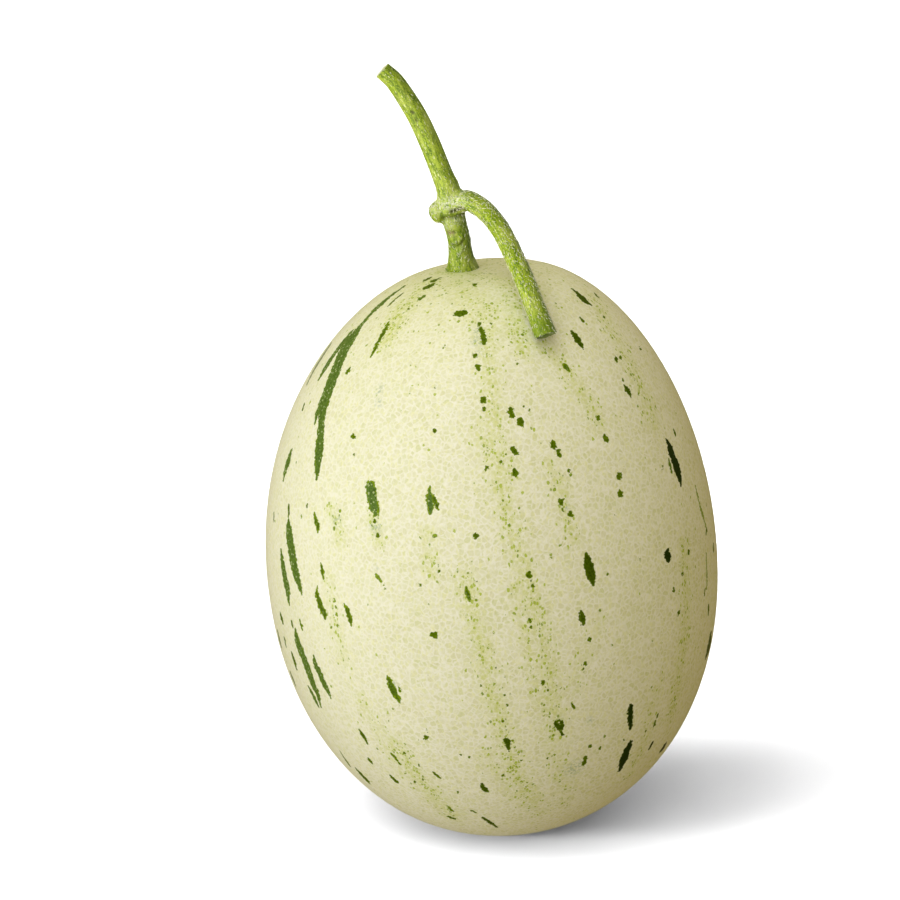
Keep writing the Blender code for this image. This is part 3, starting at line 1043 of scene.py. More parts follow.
FRONT_BLOTS = (
    # These two sage blots towards the lit left side are partly their own colour and partly painted sheen
    *PhotoMark.alike(MarkHue.SAGE, lines=(
        ((370.5, 487.5, 11), (371.5, 493, 10.6), (373, 502, 10.6), (374.5, 509, 9.4), (375, 515, 4)),
        ((430, 486, 1.5), (429.4, 491, 5), (430, 497, 7.4), (430.6, 504, 8.8), (430.7, 510, 7),
         (430.6, 514, 2.6)),
    )),
    *PhotoMark.alike(MarkHue.OLIVE, lines=(
        ((378.6, 508, 2), (377.8, 517.5, 2.2)),
        ((433.4, 498, 5.4), (435.4, 503, 6.6), (438.6, 509.4, 1.8)),
        ((387.1, 675.5, 1.2), (389.3, 680.5, 5.4), (391, 685.5, 6.4), (393.6, 690.5, 7), (396, 695.5, 6),
         (399.3, 701, 3.4), (400, 703.2, 1.2)),
        ((398.6, 687, 2), (400, 691, 3)),
        ((565, 365.6, 5), (566.6, 367.6, 6), (569, 371, 2)),
        ((466, 587, 2), (467.4, 591.8, 5.4), (468.6, 596.8, 5.6), (469.4, 601, 2.2)),
        ((447, 805.3, 1.6), (451.7, 810.7, 2.6)),
        ((391.6, 754, 2), (394.6, 756.4, 3)),
        ((396, 759.2, 1.8), (399.8, 763.8, 2.4)),
    )),
    *PhotoMark.alike(MarkHue.DARK, lines=(
        ((586, 554, 2.4), (587.5, 559, 8.2), (589, 565, 10.3), (590.5, 571, 10.3), (591.5, 576, 9.8),
         (592.5, 581, 7), (593.4, 585, 1.6)),
        ((581, 611.5, 3), (582, 617.5, 7), (583, 624, 3.5)),
        ((572.3, 289, 1.2), (577.3, 293, 3.2), (582.3, 298, 4.7), (586.6, 301.8, 4), (591, 304.6, 1)),
        ((572, 331.5, 2.4), (574.8, 335.5, 5.7), (577.8, 340, 6.4), (581, 345, 4.6), (583.2, 349, 1.2)),
        ((624.6, 386, 1.6), (627.9, 390.4, 4.8), (631, 397, 1.2)),
        ((482.5, 817.4, 1.6), (489.5, 822, 3.2), (497, 827.3, 1.6)),
        ((710.5, 635, 1.5), (709, 646, 3), (706, 657, 1.2)),
        ((555.8, 722, 3.6), (556.9, 726.6, 5.8), (560.3, 727.8, 6.2), (562, 723.8, 4.6), (559.6, 720, 2.6)),
        ((505.5, 739.5, 5.2), (507.6, 743, 8), (508.6, 748, 4.4), (509, 751.5, 1.6)),
        ((482, 784.5, 4.4), (484.2, 788.2, 6.6), (486.2, 791.5, 4)),
    )),
    *PhotoMark.alike(MarkHue.BLACKISH, lines=(
        ((666.2, 439, 1), (668.5, 443.8, 4), (671, 451.3, 6), (673.5, 458.8, 6.4), (676.6, 466.3, 6.4),
         (678.5, 473.8, 5.8), (680.4, 480, 3.4), (680.9, 486, 1)),
        ((630.6, 704.6, 2.6), (630.6, 709.3, 5.4), (630, 715.5, 6), (630.6, 721.8, 5.2), (630.4, 729, 2.6)),
        ((630.6, 742, 3), (628, 748, 6), (625.5, 755, 6.6), (622.8, 762, 6.4), (619.4, 770.6, 2.6)),
        ((652.6, 742, 1.2), (651, 745.5, 2.3), (649.4, 749, 1.2)),
        ((664.8, 744.6, 1.4), (662, 749.5, 2.2)),
        ((667.6, 550.4, 3), (667.4, 554.4, 7), (668.5, 558.2, 6.4), (668.4, 561.4, 2.2)),
    )),
    *PhotoMark.alike(MarkHue.GREEN, lines=(
        ((669, 459, 1.6), (670, 466, 2.2), (672, 472, 1.8)),
    )),
    *PhotoMark.alike(MarkHue.DEEP, lines=(
        ((673.6, 429.5, 1), (674.8, 432.5, 2.2), (675.6, 436, 1)),
        ((580.5, 318, 1.8), (583.5, 321.5, 2.6)),
        ((594.8, 293.4, 1.2), (597, 296, 1.8)),
        ((480.8, 328.5, 4), (482.6, 333, 5.5), (483.3, 337, 5.5), (484.3, 340.5, 6.5), (483.4, 343.5, 3.5)),
        ((456.5, 313.5, 5), (460.5, 313.5, 6.2), (464.5, 312.8, 5.2)),
        ((510.3, 409.8, 6), (510.7, 412.5, 7.8), (512.7, 416.3, 4.2)),
        ((519.8, 420.6, 7), (520.8, 423, 7.6)),
        ((512.8, 449, 5.6), (515.7, 452.3, 6.4)),
        ((552.8, 443.6, 7), (554.8, 447.2, 6.2)),
        ((558.4, 451.6, 5), (559.2, 455, 5.8)),
        ((604.5, 436, 3), (606.3, 440, 4.6)),
        ((470.6, 810.2, 1.3), (475.4, 812.6, 1.4)),
        ((449, 817, 1.6), (454, 818.7, 1.8)),
        ((706.7, 528.5, 1), (706.4, 531, 1.9), (706.2, 534, 1)),
        ((708.6, 605.5, 0.8), (708.5, 610, 1.6), (708.4, 614.5, 0.8)),
        ((713.4, 545, 0.8), (713.5, 549, 1.1)),
        ((657.6, 714.5, 2), (657, 717.3, 2.2)),
        ((655.3, 721, 1.6), (654.3, 725.3, 2.2)),
        ((390.8, 775.8, 1.6), (396, 781.5, 3.4)),
        ((433.4, 772.5, 1.8), (436.5, 775, 3.4), (440, 778, 1.8)),
        ((585, 757.6, 3.4), (584.6, 761, 5), (583.2, 764.6, 3)),
        ((571.6, 703.6, 2), (574.6, 708.4, 3.2)),
    )),
    *PhotoMark.alike(MarkHue.PALE, lines=(
        ((376, 574.8, 2.4), (378.4, 578.2, 4.2), (381, 581.6, 2.4)),
    )),
    *PhotoMark.alike(MarkHue.PALE, strength=0.9, lines=(
        ((695.5, 486, 0.9), (698, 498, 1.4), (701, 509, 1.8), (704.5, 521, 1.5), (706, 527, 1.2)),
    )),
    *PhotoMark.alike(MarkHue.PALE, strength=0.8, lines=(
        ((706.3, 554, 0.9), (706.7, 568, 1.3), (707, 580, 1.3), (706.6, 588, 0.9)),
    )),
    *PhotoMark.alike(MarkHue.DEEP, strength=0.9, lines=(
        ((704.9, 589.5, 1), (704.7, 592, 1.6), (704.6, 595, 1)),
    )),
)

# Round spots, as across, down and width
DARK_SPOTS = (
    (474.8, 284.6, 4.2), (408.6, 309.2, 3.2), (479, 324.2, 4.6), (474.8, 355.4, 5), (478, 367.4, 5.2),
    (491.3, 324, 2.4), (515.6, 359.5, 2), (517.5, 364, 2.2), (483.6, 399.8, 6.4), (483.7, 408.7, 4.4),
    (434, 635, 7.2), (434.6, 431.2, 4.4), (434.6, 388.4, 2.2), (353.3, 436.1, 4), (354.3, 455.3, 2.6),
    (514.5, 473.2, 7.6), (487, 468, 4.4), (500.8, 462.3, 3), (541, 444, 2.4), (529.3, 410.4, 2.4),
    (524, 405.8, 2), (569, 470.4, 3.6), (561.3, 502, 6.2), (562.9, 509.3, 3.2), (570.5, 513.8, 5.2),
    (569, 520.2, 3.2), (476, 536.4, 5.6), (529, 575, 6), (531, 581, 3), (533, 586, 4), (590, 640, 4),
    (585, 663, 4.6), (583, 669, 2.4), (542.9, 682.4, 4), (551, 647, 3.2), (548, 690, 3), (607.5, 574.4, 3),
    (598.1, 417.9, 3.8), (620.6, 358, 3.4), (619, 476.6, 5.4), (620.3, 493.7, 5.6), (614.5, 513.8, 2),
    (622.9, 380, 2.4), (634.8, 379.4, 2), (616, 359, 4.2), (640.5, 348.8, 2.8), (604, 317, 2.6),
    (590, 745.9, 3.4), (600, 748, 3), (673.7, 590, 3), (678.8, 612.5, 2.6), (689, 552, 2.6),
    (662.3, 467.3, 2.4), (306.9, 505.4, 2.2), (476.5, 582, 3.2), (503, 775.4, 3.4), (426.5, 738, 5),
    (427, 731, 2.6), (419, 765, 3), (404, 753, 2.6), (458, 792, 3.2), (469, 757, 2.6), (521, 760, 2.6),
    (481, 685, 3.6), (486.5, 666.5, 3), (511, 695.2, 2.5), (374.5, 521.5, 3.2), (378, 535.8, 3.8),
    (372.3, 524.6, 2.4), (380.9, 532.3, 1.6), (595, 722, 2), (624, 739.6, 2), (645.6, 731.4, 1.6),
    (399, 705.8, 2), (502.5, 721.6, 3), (506.3, 730.4, 2.4), (547.6, 758.6, 2.4), (453.7, 372, 1.8),
    (461, 755, 2.4), (529.8, 620.4, 4.5), (531, 627, 3), (489.8, 654.7, 3), (495.5, 668.6, 2.5),
    (504.5, 676, 2.5), (504.5, 695.5, 2.5), (507, 705.3, 3), (420.4, 585.3, 3), (439, 571, 3),
    (409.8, 758.4, 2.5), (414.7, 782, 3), (422.9, 779.6, 2.5), (682.5, 574, 2.2),
)
PALE_SPOTS = (
    (443.8, 346.7, 3.6), (409.4, 393, 2), (434.5, 535.7, 4.4), (487.7, 450, 3), (486.8, 457.2, 3.2),
    (490.3, 492.3, 2.6), (491.2, 484.6, 2.6), (503, 500.3, 2.6), (509.4, 524.8, 2.6), (520, 535, 2.6),
    (505.9, 453.7, 2), (340, 511, 2), (339.4, 515.4, 1.6), (340.4, 520.5, 1.6), (335.6, 523.7, 2.6),
    (334, 528.2, 2.4), (334.4, 599.9, 3), (336.5, 614.3, 2.6), (337.8, 625.8, 2.6), (331.3, 627.8, 2.4),
    (335.6, 606.8, 2), (301.4, 516.4, 2), (445.9, 293, 2.4), (452.2, 304.2, 2.4), (522.5, 334.8, 2.4),
    (486, 365.8, 1.8), (549, 438.5, 2), (638.5, 393.9, 2), (637.9, 406, 2), (612.3, 337.4, 2),
    (476, 599.3, 3), (474.3, 590.5, 2), (511, 595.5, 3), (467.8, 573.6, 2), (544, 710.8, 3),
    (544, 704.3, 2.6), (549.8, 717.8, 2.4), (553.3, 734.9, 2.4), (548.3, 735.5, 2), (544, 716, 2.4),
    (515, 747, 2.6), (518, 754, 2.4), (512.5, 741, 2.8), (505.6, 726, 2.2), (498.8, 767.9, 2),
    (510.4, 777, 2.4), (392.8, 709.3, 2.4), (388.6, 720.9, 2.2), (378.3, 721.8, 1.6), (427.8, 674.3, 2.2),
    (438, 566, 3), (429, 545, 3), (462, 575, 2.4), (519, 508, 2.4), (496, 482, 2.4), (560, 545, 2.6),
    (600, 610, 2.4), (612, 645, 2.6), (640, 560, 2.4), (570.6, 475, 3), (533, 590, 3), (383.5, 584.7, 2.2),
    (385.1, 589, 2.2), (386.9, 591.6, 1.6),
)


@dataclass(frozen=True)
class PhotoBand:
    """A band of green flecks that the photograph shows, with its route and half width in pixels."""

    route: tuple[Pixel, ...]
    half_width: float
    density: float


FLECK_BANDS = (
    PhotoBand(((487, 335), (490, 390), (492, 430), (497, 460), (505, 505), (516, 545), (527, 585),
               (540, 630), (550, 680), (556, 735)), 9, 0.8),
    PhotoBand(((487, 440), (500, 470)), 12, 0.75),
    PhotoBand(((466, 580), (476, 625), (487, 670), (500, 720), (515, 770), (532, 800)), 9, 0.85),
    PhotoBand(((402, 306), (396, 320), (388, 337)), 11, 1.0),
    PhotoBand(((430, 282), (412, 300), (400, 315)), 12, 0.8),
    PhotoBand(((445, 272), (490, 276), (535, 290)), 12, 0.75),
    PhotoBand(((455, 285), (480, 310), (487, 335)), 16, 0.6),
    PhotoBand(((510, 285), (518, 315), (524, 345)), 12, 0.8),
    PhotoBand(((545, 345), (562, 365), (580, 390), (598, 420)), 8, 0.75),
    PhotoBand(((595, 300), (620, 345), (640, 385), (652, 420)), 10, 0.7),
    PhotoBand(((552, 465), (562, 500), (575, 540)), 6, 0.65),
    PhotoBand(((428, 535), (432, 572)), 7, 0.7),
    PhotoBand(((684, 545), (686, 600), (681, 660), (672, 710)), 8, 0.8),
    PhotoBand(((395, 745), (420, 780), (452, 815)), 10, 0.85),
    PhotoBand(((360, 700), (380, 735), (400, 770)), 8, 0.5),
    PhotoBand(((328, 580), (336, 625), (345, 660)), 8, 0.5),
    PhotoBand(((490, 755), (510, 790), (540, 812)), 8, 0.5),
    PhotoBand(((545, 730), (560, 770), (566, 800)), 9, 0.5),
    PhotoBand(((600, 620), (570, 690)), 7, 0.4),
    PhotoBand(((655, 690), (648, 730), (630, 775)), 7, 0.5),
    PhotoBand(((330, 510), (338, 525), (340, 540)), 6, 0.9),
    PhotoBand(((515, 590), (528, 650), (540, 700)), 7, 0.6),
    PhotoBand(((372, 520), (378, 540)), 6, 0.8),
    PhotoBand(((558, 480), (566, 520)), 6, 0.8),
)

# Faded greyish patches beside some marks, as across, down and width
FADED_PATCHES = (
    (477.5, 331, 8), (477, 341, 9), (479, 352, 5), (375.5, 527, 9), (379.5, 390, 7), (378.5, 403, 6),
    (337, 520, 7), (567, 507, 6), (575, 768, 15), (559, 723, 7), (671, 465, 6), (590, 720, 5),
    (394.5, 683, 4), (376, 568, 4),
)


@dataclass
class HiddenSide:
    """Marks and bands for the side that the photograph doesn't show, scattered like the ones that it does."""

    form: MelonForm
    view: PhotoView
    seed: int = 11
    streaks: int = 46
    spots: int = 150
    bands: int = 15
    turned_away: float = 0.04
    streak_angles_deg: Range = (12.0, 150.0)
    spot_angles_deg: Range = (8.0, 168.0)
    band_angles_deg: Range = (12.0, 120.0)
    last_angle_deg: float = 176.0
    mean_radius_share: float = 0.9
    drift: Range = (-0.08, 0.10)
    station_spacing: float = 1.5
    shortest_streak: float = 4.0
    extra_length: float = 34.0
    rarity_of_long: float = 2.6
    streak_half_width: Range = (0.45, 0.85)
    half_width_per_length: float = 0.018
    spot_half_width: Range = (0.35, 1.0)
    spot_length: Range = (0.3, 1.2)
    peak: Range = (0.3, 0.7)
    waves: Range = (4.0, 14.0)
    wave_start: Range = (0.0, 6.0)
    wave_share: float = 0.2
    end_share: float = 0.15
    fullness: Range = (0.35, 0.9)
    band_length: Range = (22.0, 80.0)
    band_half_width: Range = (2.2, 4.2)
    band_density: Range = (0.45, 0.8)
    hues: tuple[MarkHue, ...] = (MarkHue.DEEP, MarkHue.DEEP, MarkHue.GREEN, MarkHue.OLIVE, MarkHue.SAGE)

    def __post_init__(self) -> None:
        """Start the seeded chance that every draw here comes from."""
        self.chance = Random(self.seed)

    def hidden(self, place: np.ndarray) -> bool:
        """Say whether a point of the skin faces away from the camera."""
        outward = Vector(place) - Vector(self.form.equator_centre)
        outward.z *= self.form.flattening
        to_eye = Vector(self.view.eye) - Vector(place)
        return outward.dot(to_eye) < -self.turned_away * outward.length * -self.view.eye[1]

    def line(self, polar_deg: float, around_deg: float, length: float) -> np.ndarray:
        """Return a route of the given length that runs down from a point towards the blossom end.

        Args:
            polar_deg: the point's angle from the stalk end.
            around_deg: its angle round from the right.
            length: the route's length in millimetres.

        Returns:
            The stations in millimetres, one row each.
        """
        reach_deg = length / (self.form.height_to_stalk * self.mean_radius_share) * 180 / pi
        drift = self.chance.uniform(*self.drift)
        steps = np.linspace(0.0, reach_deg, max(3, int(length / self.station_spacing)))
        angles = [(min(polar_deg + step, self.last_angle_deg), around_deg + drift * step) for step in steps]
        return np.array([self.form.at(*pair) for pair in angles])

    def normals(self, route: np.ndarray) -> np.ndarray:
        """Return the outward directions at the stations of a route."""
        outward = route - np.array(self.form.equator_centre)
        outward[:, 2] *= self.form.flattening
        return unit_rows(outward)

    def scattered(self, count: int, low_deg: float, high_deg: float) -> Iterable[tuple[float, float]]:
        """Yield angles from the stalk end and round the fruit, evenly over the hidden skin.

        Args:
            count: how many pairs are wanted.
            low_deg: the least angle from the stalk end.
            high_deg: the greatest.

        Returns:
            The pairs, one by one.
        """
        found = 0
        while found < count:
            height = self.chance.uniform(cos(radians(high_deg)), cos(radians(low_deg)))
            polar = float(np.degrees(np.arccos(height)))
            around = self.chance.uniform(-180.0, 180.0)
            if self.hidden(self.form.at(polar, around)):
                found += 1
                yield polar, around

    def marks(self) -> list[Mark]:
        """Return the hidden side's streaks and spots."""
        made = []
        for polar, around in self.scattered(self.streaks, *self.streak_angles_deg):
            length = self.shortest_streak + self.extra_length * self.chance.random() ** self.rarity_of_long
            widest = self.chance.uniform(*self.streak_half_width) + self.half_width_per_length * length
            made.append(self.mark(self.line(polar, around, length), widest))
        for polar, around in self.scattered(self.spots, *self.spot_angles_deg):
            widest = self.chance.uniform(*self.spot_half_width)
            length = self.chance.uniform(*self.spot_length)
            made.append(self.mark(self.line(polar, around, length), widest))
        return made

    def mark(self, line: np.ndarray, widest: float) -> Mark:
        """Return a mark along a line, which swells and closes unevenly as the real ones do.

        Args:
            line: the stations of its middle line.
            widest: its half width where it is widest.

        Returns:
            The mark.
        """
        share = np.linspace(0.0, 1.0, len(line))
        peak = self.chance.uniform(*self.peak)
        swell = np.where(share < peak, share / peak, (1 - share) / (1 - peak))
        turns = share * self.chance.uniform(*self.waves) + self.chance.uniform(*self.wave_start)
        swell = self.end_share + (1 - self.end_share) * swell ** self.chance.uniform(*self.fullness)
        half_widths = widest * swell * (1 + self.wave_share * np.sin(turns))
        return Mark(line, self.normals(line), half_widths, self.chance.choice(self.hues))

    def fleck_bands(self) -> list[tuple[np.ndarray, float, float]]:
        """Return the hidden side's bands, each as its route, half width and density."""
        made = []
        for polar, around in self.scattered(self.bands, *self.band_angles_deg):
            route = self.line(polar, around, self.chance.uniform(*self.band_length))
            half_width = self.chance.uniform(*self.band_half_width)
            made.append((route, half_width, self.chance.uniform(*self.band_density)))
        return made


@dataclass
class Rind:
    """The fruit's skin, from the stalk's seat to the blossom scar."""

    form: MelonForm
    view: PhotoView
    finish: RindFinish = field(default_factory=RindFinish)
    squares_per_side: int = 124
    flat_softness: float = 0.35
    scar_centre: Triple = (6.2, 3.7, 0.0)
    scar_radius: float = 3.2
    scar_depth: float = 0.7
    scar_fullness: float = 0.7
    stalk_foot: Triple = (-9.65, -0.6, 161.4)
    seat_radius: float = 4.9
    seat_depth: float = 0.5
    mark_margin: float = 2.0
    no_mark: Triple = (FAR_MM, FAR_MM, 0.1)
    mark_step_px: float = 3.0
    band_step_px: float = 12.0
    band_softness: float = 1.25
    stalk_end_reach: float = 34.0
    stray_flecks: float = 0.012
    stalk_end_flecks: float = 0.28
    faded_fullness: float = 1.3
    faded_softness: float = 1 / 1.5
    cork_fullness: float = 1.4

    def model(self) -> bpy.types.Mesh:
        """Blow a finely divided cube up to the melon's shape, and press in its flat spot, scar and seat."""
        bm = bmesh.new()
        bmesh.ops.create_cube(bm, size=2.0)
        bmesh.ops.subdivide_edges(bm, edges=bm.edges, cuts=self.squares_per_side - 1, use_grid_fill=True)
        mesh = mesh_of("melon_rind", bm)
        spread = np.tan(vertex_places(mesh) * MM * pi / 4)
        set_places(mesh, self.press(self.form.surface(unit_rows(spread))))
        return mesh

    def press(self, places: np.ndarray) -> np.ndarray:
        """Return the skin's places with the flat spot, the blossom scar and the stalk's seat pressed in.

        Args:
            places: the places in millimetres, one row each.

        Returns:
            The pressed places.
        """
        pressed = places.copy()
        pressed[:, 2] = 0.5 * (places[:, 2] + np.sqrt(places[:, 2] ** 2 + self.flat_softness**2))
        from_scar = distances(pressed, self.scar_centre)
        hollow = np.clip(1 - (from_scar / self.scar_radius) ** 2, 0, 1) ** self.scar_fullness
        pressed[:, 2] += self.scar_depth * hollow
        pressed[:, 2] -= self.seat_depth * fade(distances(pressed, self.stalk_foot), self.seat_radius)
        return pressed

    def photo_marks(self, target: Target) -> list[Mark]:
        """Return the marks that the photograph shows, carried onto the skin.

        Args:
            target: the skin.

        Returns:
            The marks, first the drawn ones and then the round spots.
        """
        round_spots = ((MarkHue.DEEP, DARK_SPOTS), (MarkHue.PALE, PALE_SPOTS))
        spots = [PhotoMark.spot(hue, *row) for hue, rows in round_spots for row in rows]
        return [self.carried(target, mark) for mark in (*LEFT_STREAKS, *FRONT_BLOTS, *spots)]

    def carried(self, target: Target, mark: PhotoMark) -> Mark:
        """Return a mark carried onto the skin, with its widths as they truly are there.

        Args:
            target: the skin.
            mark: the mark as the photograph shows it.

        Returns:
            The mark on the skin.
        """
        rows = smooth_curve(mark.line, self.mark_step_px, 2)
        ahead = np.gradient(rows[:, :2], axis=0)
        sideways = unit_rows(np.stack([-ahead[:, 1], ahead[:, 0]], 1))
        line, normals = target.hits(rows[:, :2])
        first, _ = target.hits(rows[:, :2] - sideways)
        second, _ = target.hits(rows[:, :2] + sideways)
        across = unit_rows(np.cross(normals, np.gradient(line, axis=0)))
        mm_per_px = np.abs(((second - first) * across).sum(1)) / 2
        return Mark(line, normals, rows[:, 2] / 2 * mm_per_px, mark.hue, mark.strength)

    def paint_marks(self, mesh: bpy.types.Mesh, marks: Sequence[Mark]) -> None:
        """Give every face its place relative to the nearest mark.

        Each face follows one mark only, so the mark's outline stays sharp between the vertices.

        Args:
            mesh: the rind's mesh, all of whose faces have four corners.
            marks: every green mark.
        """
        places = vertex_places(mesh)
        corner_vertex = np.empty(len(mesh.loops), np.int32)
        mesh.loops.foreach_get("vertex_index", corner_vertex)
        centres = places[corner_vertex.reshape(-1, 4)].mean(1)
        nearest = np.full(len(centres), self.mark_margin)
        place = np.tile(self.no_mark, (len(corner_vertex), 1))
        look = np.zeros((len(corner_vertex), 3))
        for mark in marks:
            off = distances(centres, mark.middle())
            close = np.nonzero(off < mark.reach() + self.mark_margin)[0]
            beyond, across, half_width = mark.coordinates(centres[close]).T
            gap = np.hypot(across, np.maximum(beyond, 0.0)) - half_width
            won = gap < nearest[close]
            chosen = close[won]
            nearest[chosen] = gap[won]
            corners = (chosen[:, None] * 4 + np.arange(4)).ravel()
            place[corners] = mark.coordinates(places[corner_vertex[corners]])
            look[corners] = (*mark.hue.value, mark.strength)
        set_attribute(mesh, "mark_place", place, "CORNER")
        set_attribute(mesh, "mark_look", look, "CORNER")

    def paint_bands(self, mesh: bpy.types.Mesh, target: Target, hidden: HiddenSide) -> None:
        """Store how dense the flecks are, and where the skin is greener, faded or corky.

        Args:
            mesh: the rind's mesh.
            target: the same mesh, for carrying places onto it.
            hidden: where the hidden side's bands come from.
        """
        places = vertex_places(mesh)
        px_per_mm = self.view.px_per_mm
        density = np.full(len(places), self.stray_flecks)
        shown = [(target.route(band.route, self.band_step_px), band.half_width / px_per_mm, band.density)
                 for band in FLECK_BANDS]
        for route, half_width, strength in (*shown, *hidden.fleck_bands()):
            along = fade(distance_to_route(places, route), half_width * self.band_softness)
            density = np.maximum(density, strength * along)
        near_stalk = fade(distances(places, self.stalk_foot), self.stalk_end_reach)
        set_attribute(mesh, "stalk_end", near_stalk)
        set_attribute(mesh, "flecks", np.maximum(density, self.stalk_end_flecks * near_stalk))
        faded = np.zeros(len(places))
        for across, down, width in FADED_PATCHES:
            gap = distances(places, target.hit((across, down))[0])
            patch = self.faded_fullness * fade(gap, width / px_per_mm * self.faded_softness)
            faded = np.maximum(faded, np.minimum(patch, 1.0))
        set_attribute(mesh, "faded", faded)
        from_scar = distances(places, self.scar_centre)
        set_attribute(mesh, "cork", np.clip(self.cork_fullness - from_scar / self.scar_radius, 0, 1))

    def build(self) -> bpy.types.Object:
        """Make the rind, paint it, dress it and let it stand for the fruit's solid."""
        mesh = self.model()
        target = Target(mesh, self.view)
        hidden = HiddenSide(self.form, self.view)
        marks = self.photo_marks(target) + hidden.marks()
        self.paint_marks(mesh, marks)
        self.paint_bands(mesh, target, hidden)
        mesh.materials.append(self.finish.material())
        piece = new_piece("melon_rind", mesh)
        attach(piece, "root")
        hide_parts("fruit")
        log.info("melon_rind: %d faces, %d marks", len(mesh.polygons), len(marks))
        return piece


# The stem


@dataclass(frozen=True)
class Arm:
    """One length of the stem, as the places and radii of its centre line, and the way its cut end faces."""

    line: tuple[tuple[float, float, float, float], ...]
    cut_facing: Triple

    def stations(self, spacing: float) -> np.ndarray:
        """Return evenly spaced rows of place and radius along the arm."""
        return smooth_curve(self.line, spacing)

    @staticmethod
    def frames(stations: np.ndarray) -> np.ndarray:
        """Return a frame at each station, carried along without twist, as rows of side, front and ahead.

        Args:
            stations: the rows of place and radius.

        Returns:
            One frame for each station.
        """
        directions = unit_rows(np.gradient(stations[:, :3], axis=0))
        ahead = Vector(directions[0])
        turn = UP.rotation_difference(ahead)
        frames = []
        for direction in directions:
            turn = ahead.rotation_difference(Vector(direction)) @ turn
            ahead = Vector(direction)
            frames.append(np.array(turn.to_matrix()).T)
        return np.array(frames)


STALK_AND_LEFT_VINE = Arm((
    (-9.65, -0.6, 161.4, 4.7),
    (-9.7, -0.7, 162.3, 4.5),
    (-10.0, -1.0, 164.3, 3.85),
    (-10.3, -1.8, 167.0, 3.3),
    (-10.7, -3.2, 170.8, 3.1),
    (-11.6, -4.8, 174.9, 3.15),
    (-12.4, -6.0, 178.5, 3.3),
    (-12.9, -6.7, 181.8, 3.5),
    (-13.9, -6.9, 186.3, 3.2),
    (-15.3, -6.9, 189.7, 2.9),
    (-19.0, -6.7, 199.0, 2.82),
    (-22.8, -6.5, 206.9, 2.72),
    (-27.9, -6.3, 214.8, 2.55),
    (-30.6, -6.2, 217.5, 2.4),
    (-31.35, -6.2, 218.15, 2.4),
    (-31.75, -6.2, 218.5, 2.1),
), (-0.75, -0.02, 0.66))
RIGHT_VINE = Arm((
    (-13.1, -6.5, 180.9, 2.9),
    (-10.9, -7.9, 182.2, 2.95),
    (-8.3, -10.0, 182.9, 2.85),
    (-5.8, -12.2, 182.2, 2.75),
    (-3.0, -14.8, 180.6, 2.65),
    (1.0, -20.3, 176.4, 2.6),
    (5.2, -26.9, 169.1, 2.6),
    (7.9, -31.5, 163.5, 2.65),
    (10.4, -36.0, 157.8, 2.7),
    (12.4, -39.5, 153.1, 2.95),
    (12.9, -40.3, 151.9, 3.05),
    (13.1, -40.6, 151.4, 2.7),
), (0.30, -0.36, -0.88))


@dataclass(frozen=True)
class Dent:
    """A small hollow or ridge of the stem along a route of pixels, and how it is coloured."""

    route: tuple[Pixel, ...]
    reach: float
    rise: float
    scuff: float = 0.0
    scar: float = 0.0
    pit_and_crease_shade: float = 0.0


STEM_DENTS = (
    Dent(((412, 112), (413, 113)), 0.45, -0.25, pit_and_crease_shade=0.9),
    Dent(((416, 120), (417, 121)), 0.4, -0.2, pit_and_crease_shade=0.7),
    Dent(((417, 127), (418, 127)), 0.35, -0.15, pit_and_crease_shade=0.5),
    Dent(((423, 135), (424, 136)), 0.35, -0.15, pit_and_crease_shade=0.5),
    # The next two dark grooves under the node are painted shade in the crease between node and stalk, on a
    # slight hollow
    Dent(((444, 219), (452, 218), (460, 216), (466, 213)), 0.7, -0.55, pit_and_crease_shade=0.55),
    Dent(((452, 212.5), (458, 210.5), (463, 209.5), (467, 211.5)), 0.75, -0.6, pit_and_crease_shade=1.0),
    Dent(((438, 206), (450, 204), (460, 200)), 2.0, 0.15, scuff=0.9),
    Dent(((446, 226), (456, 222)), 1.6, 0.05, scuff=0.5),
    Dent(((448, 233), (452, 234)), 0.8, -0.3, scar=1.0),
    Dent(((454, 232), (455, 233)), 0.4, -0.25, pit_and_crease_shade=0.7),
    Dent(((453, 245), (457, 247), (461, 245), (463, 241)), 0.55, -0.35, pit_and_crease_shade=0.45),
    Dent(((453, 240), (458, 242), (461, 238)), 0.9, 0.40),
    Dent(((452, 244), (456, 242)), 0.35, 0.2, scuff=0.9),
    Dent(((459, 254), (462, 250), (462, 246)), 0.35, 0.2, scuff=1.0),
)


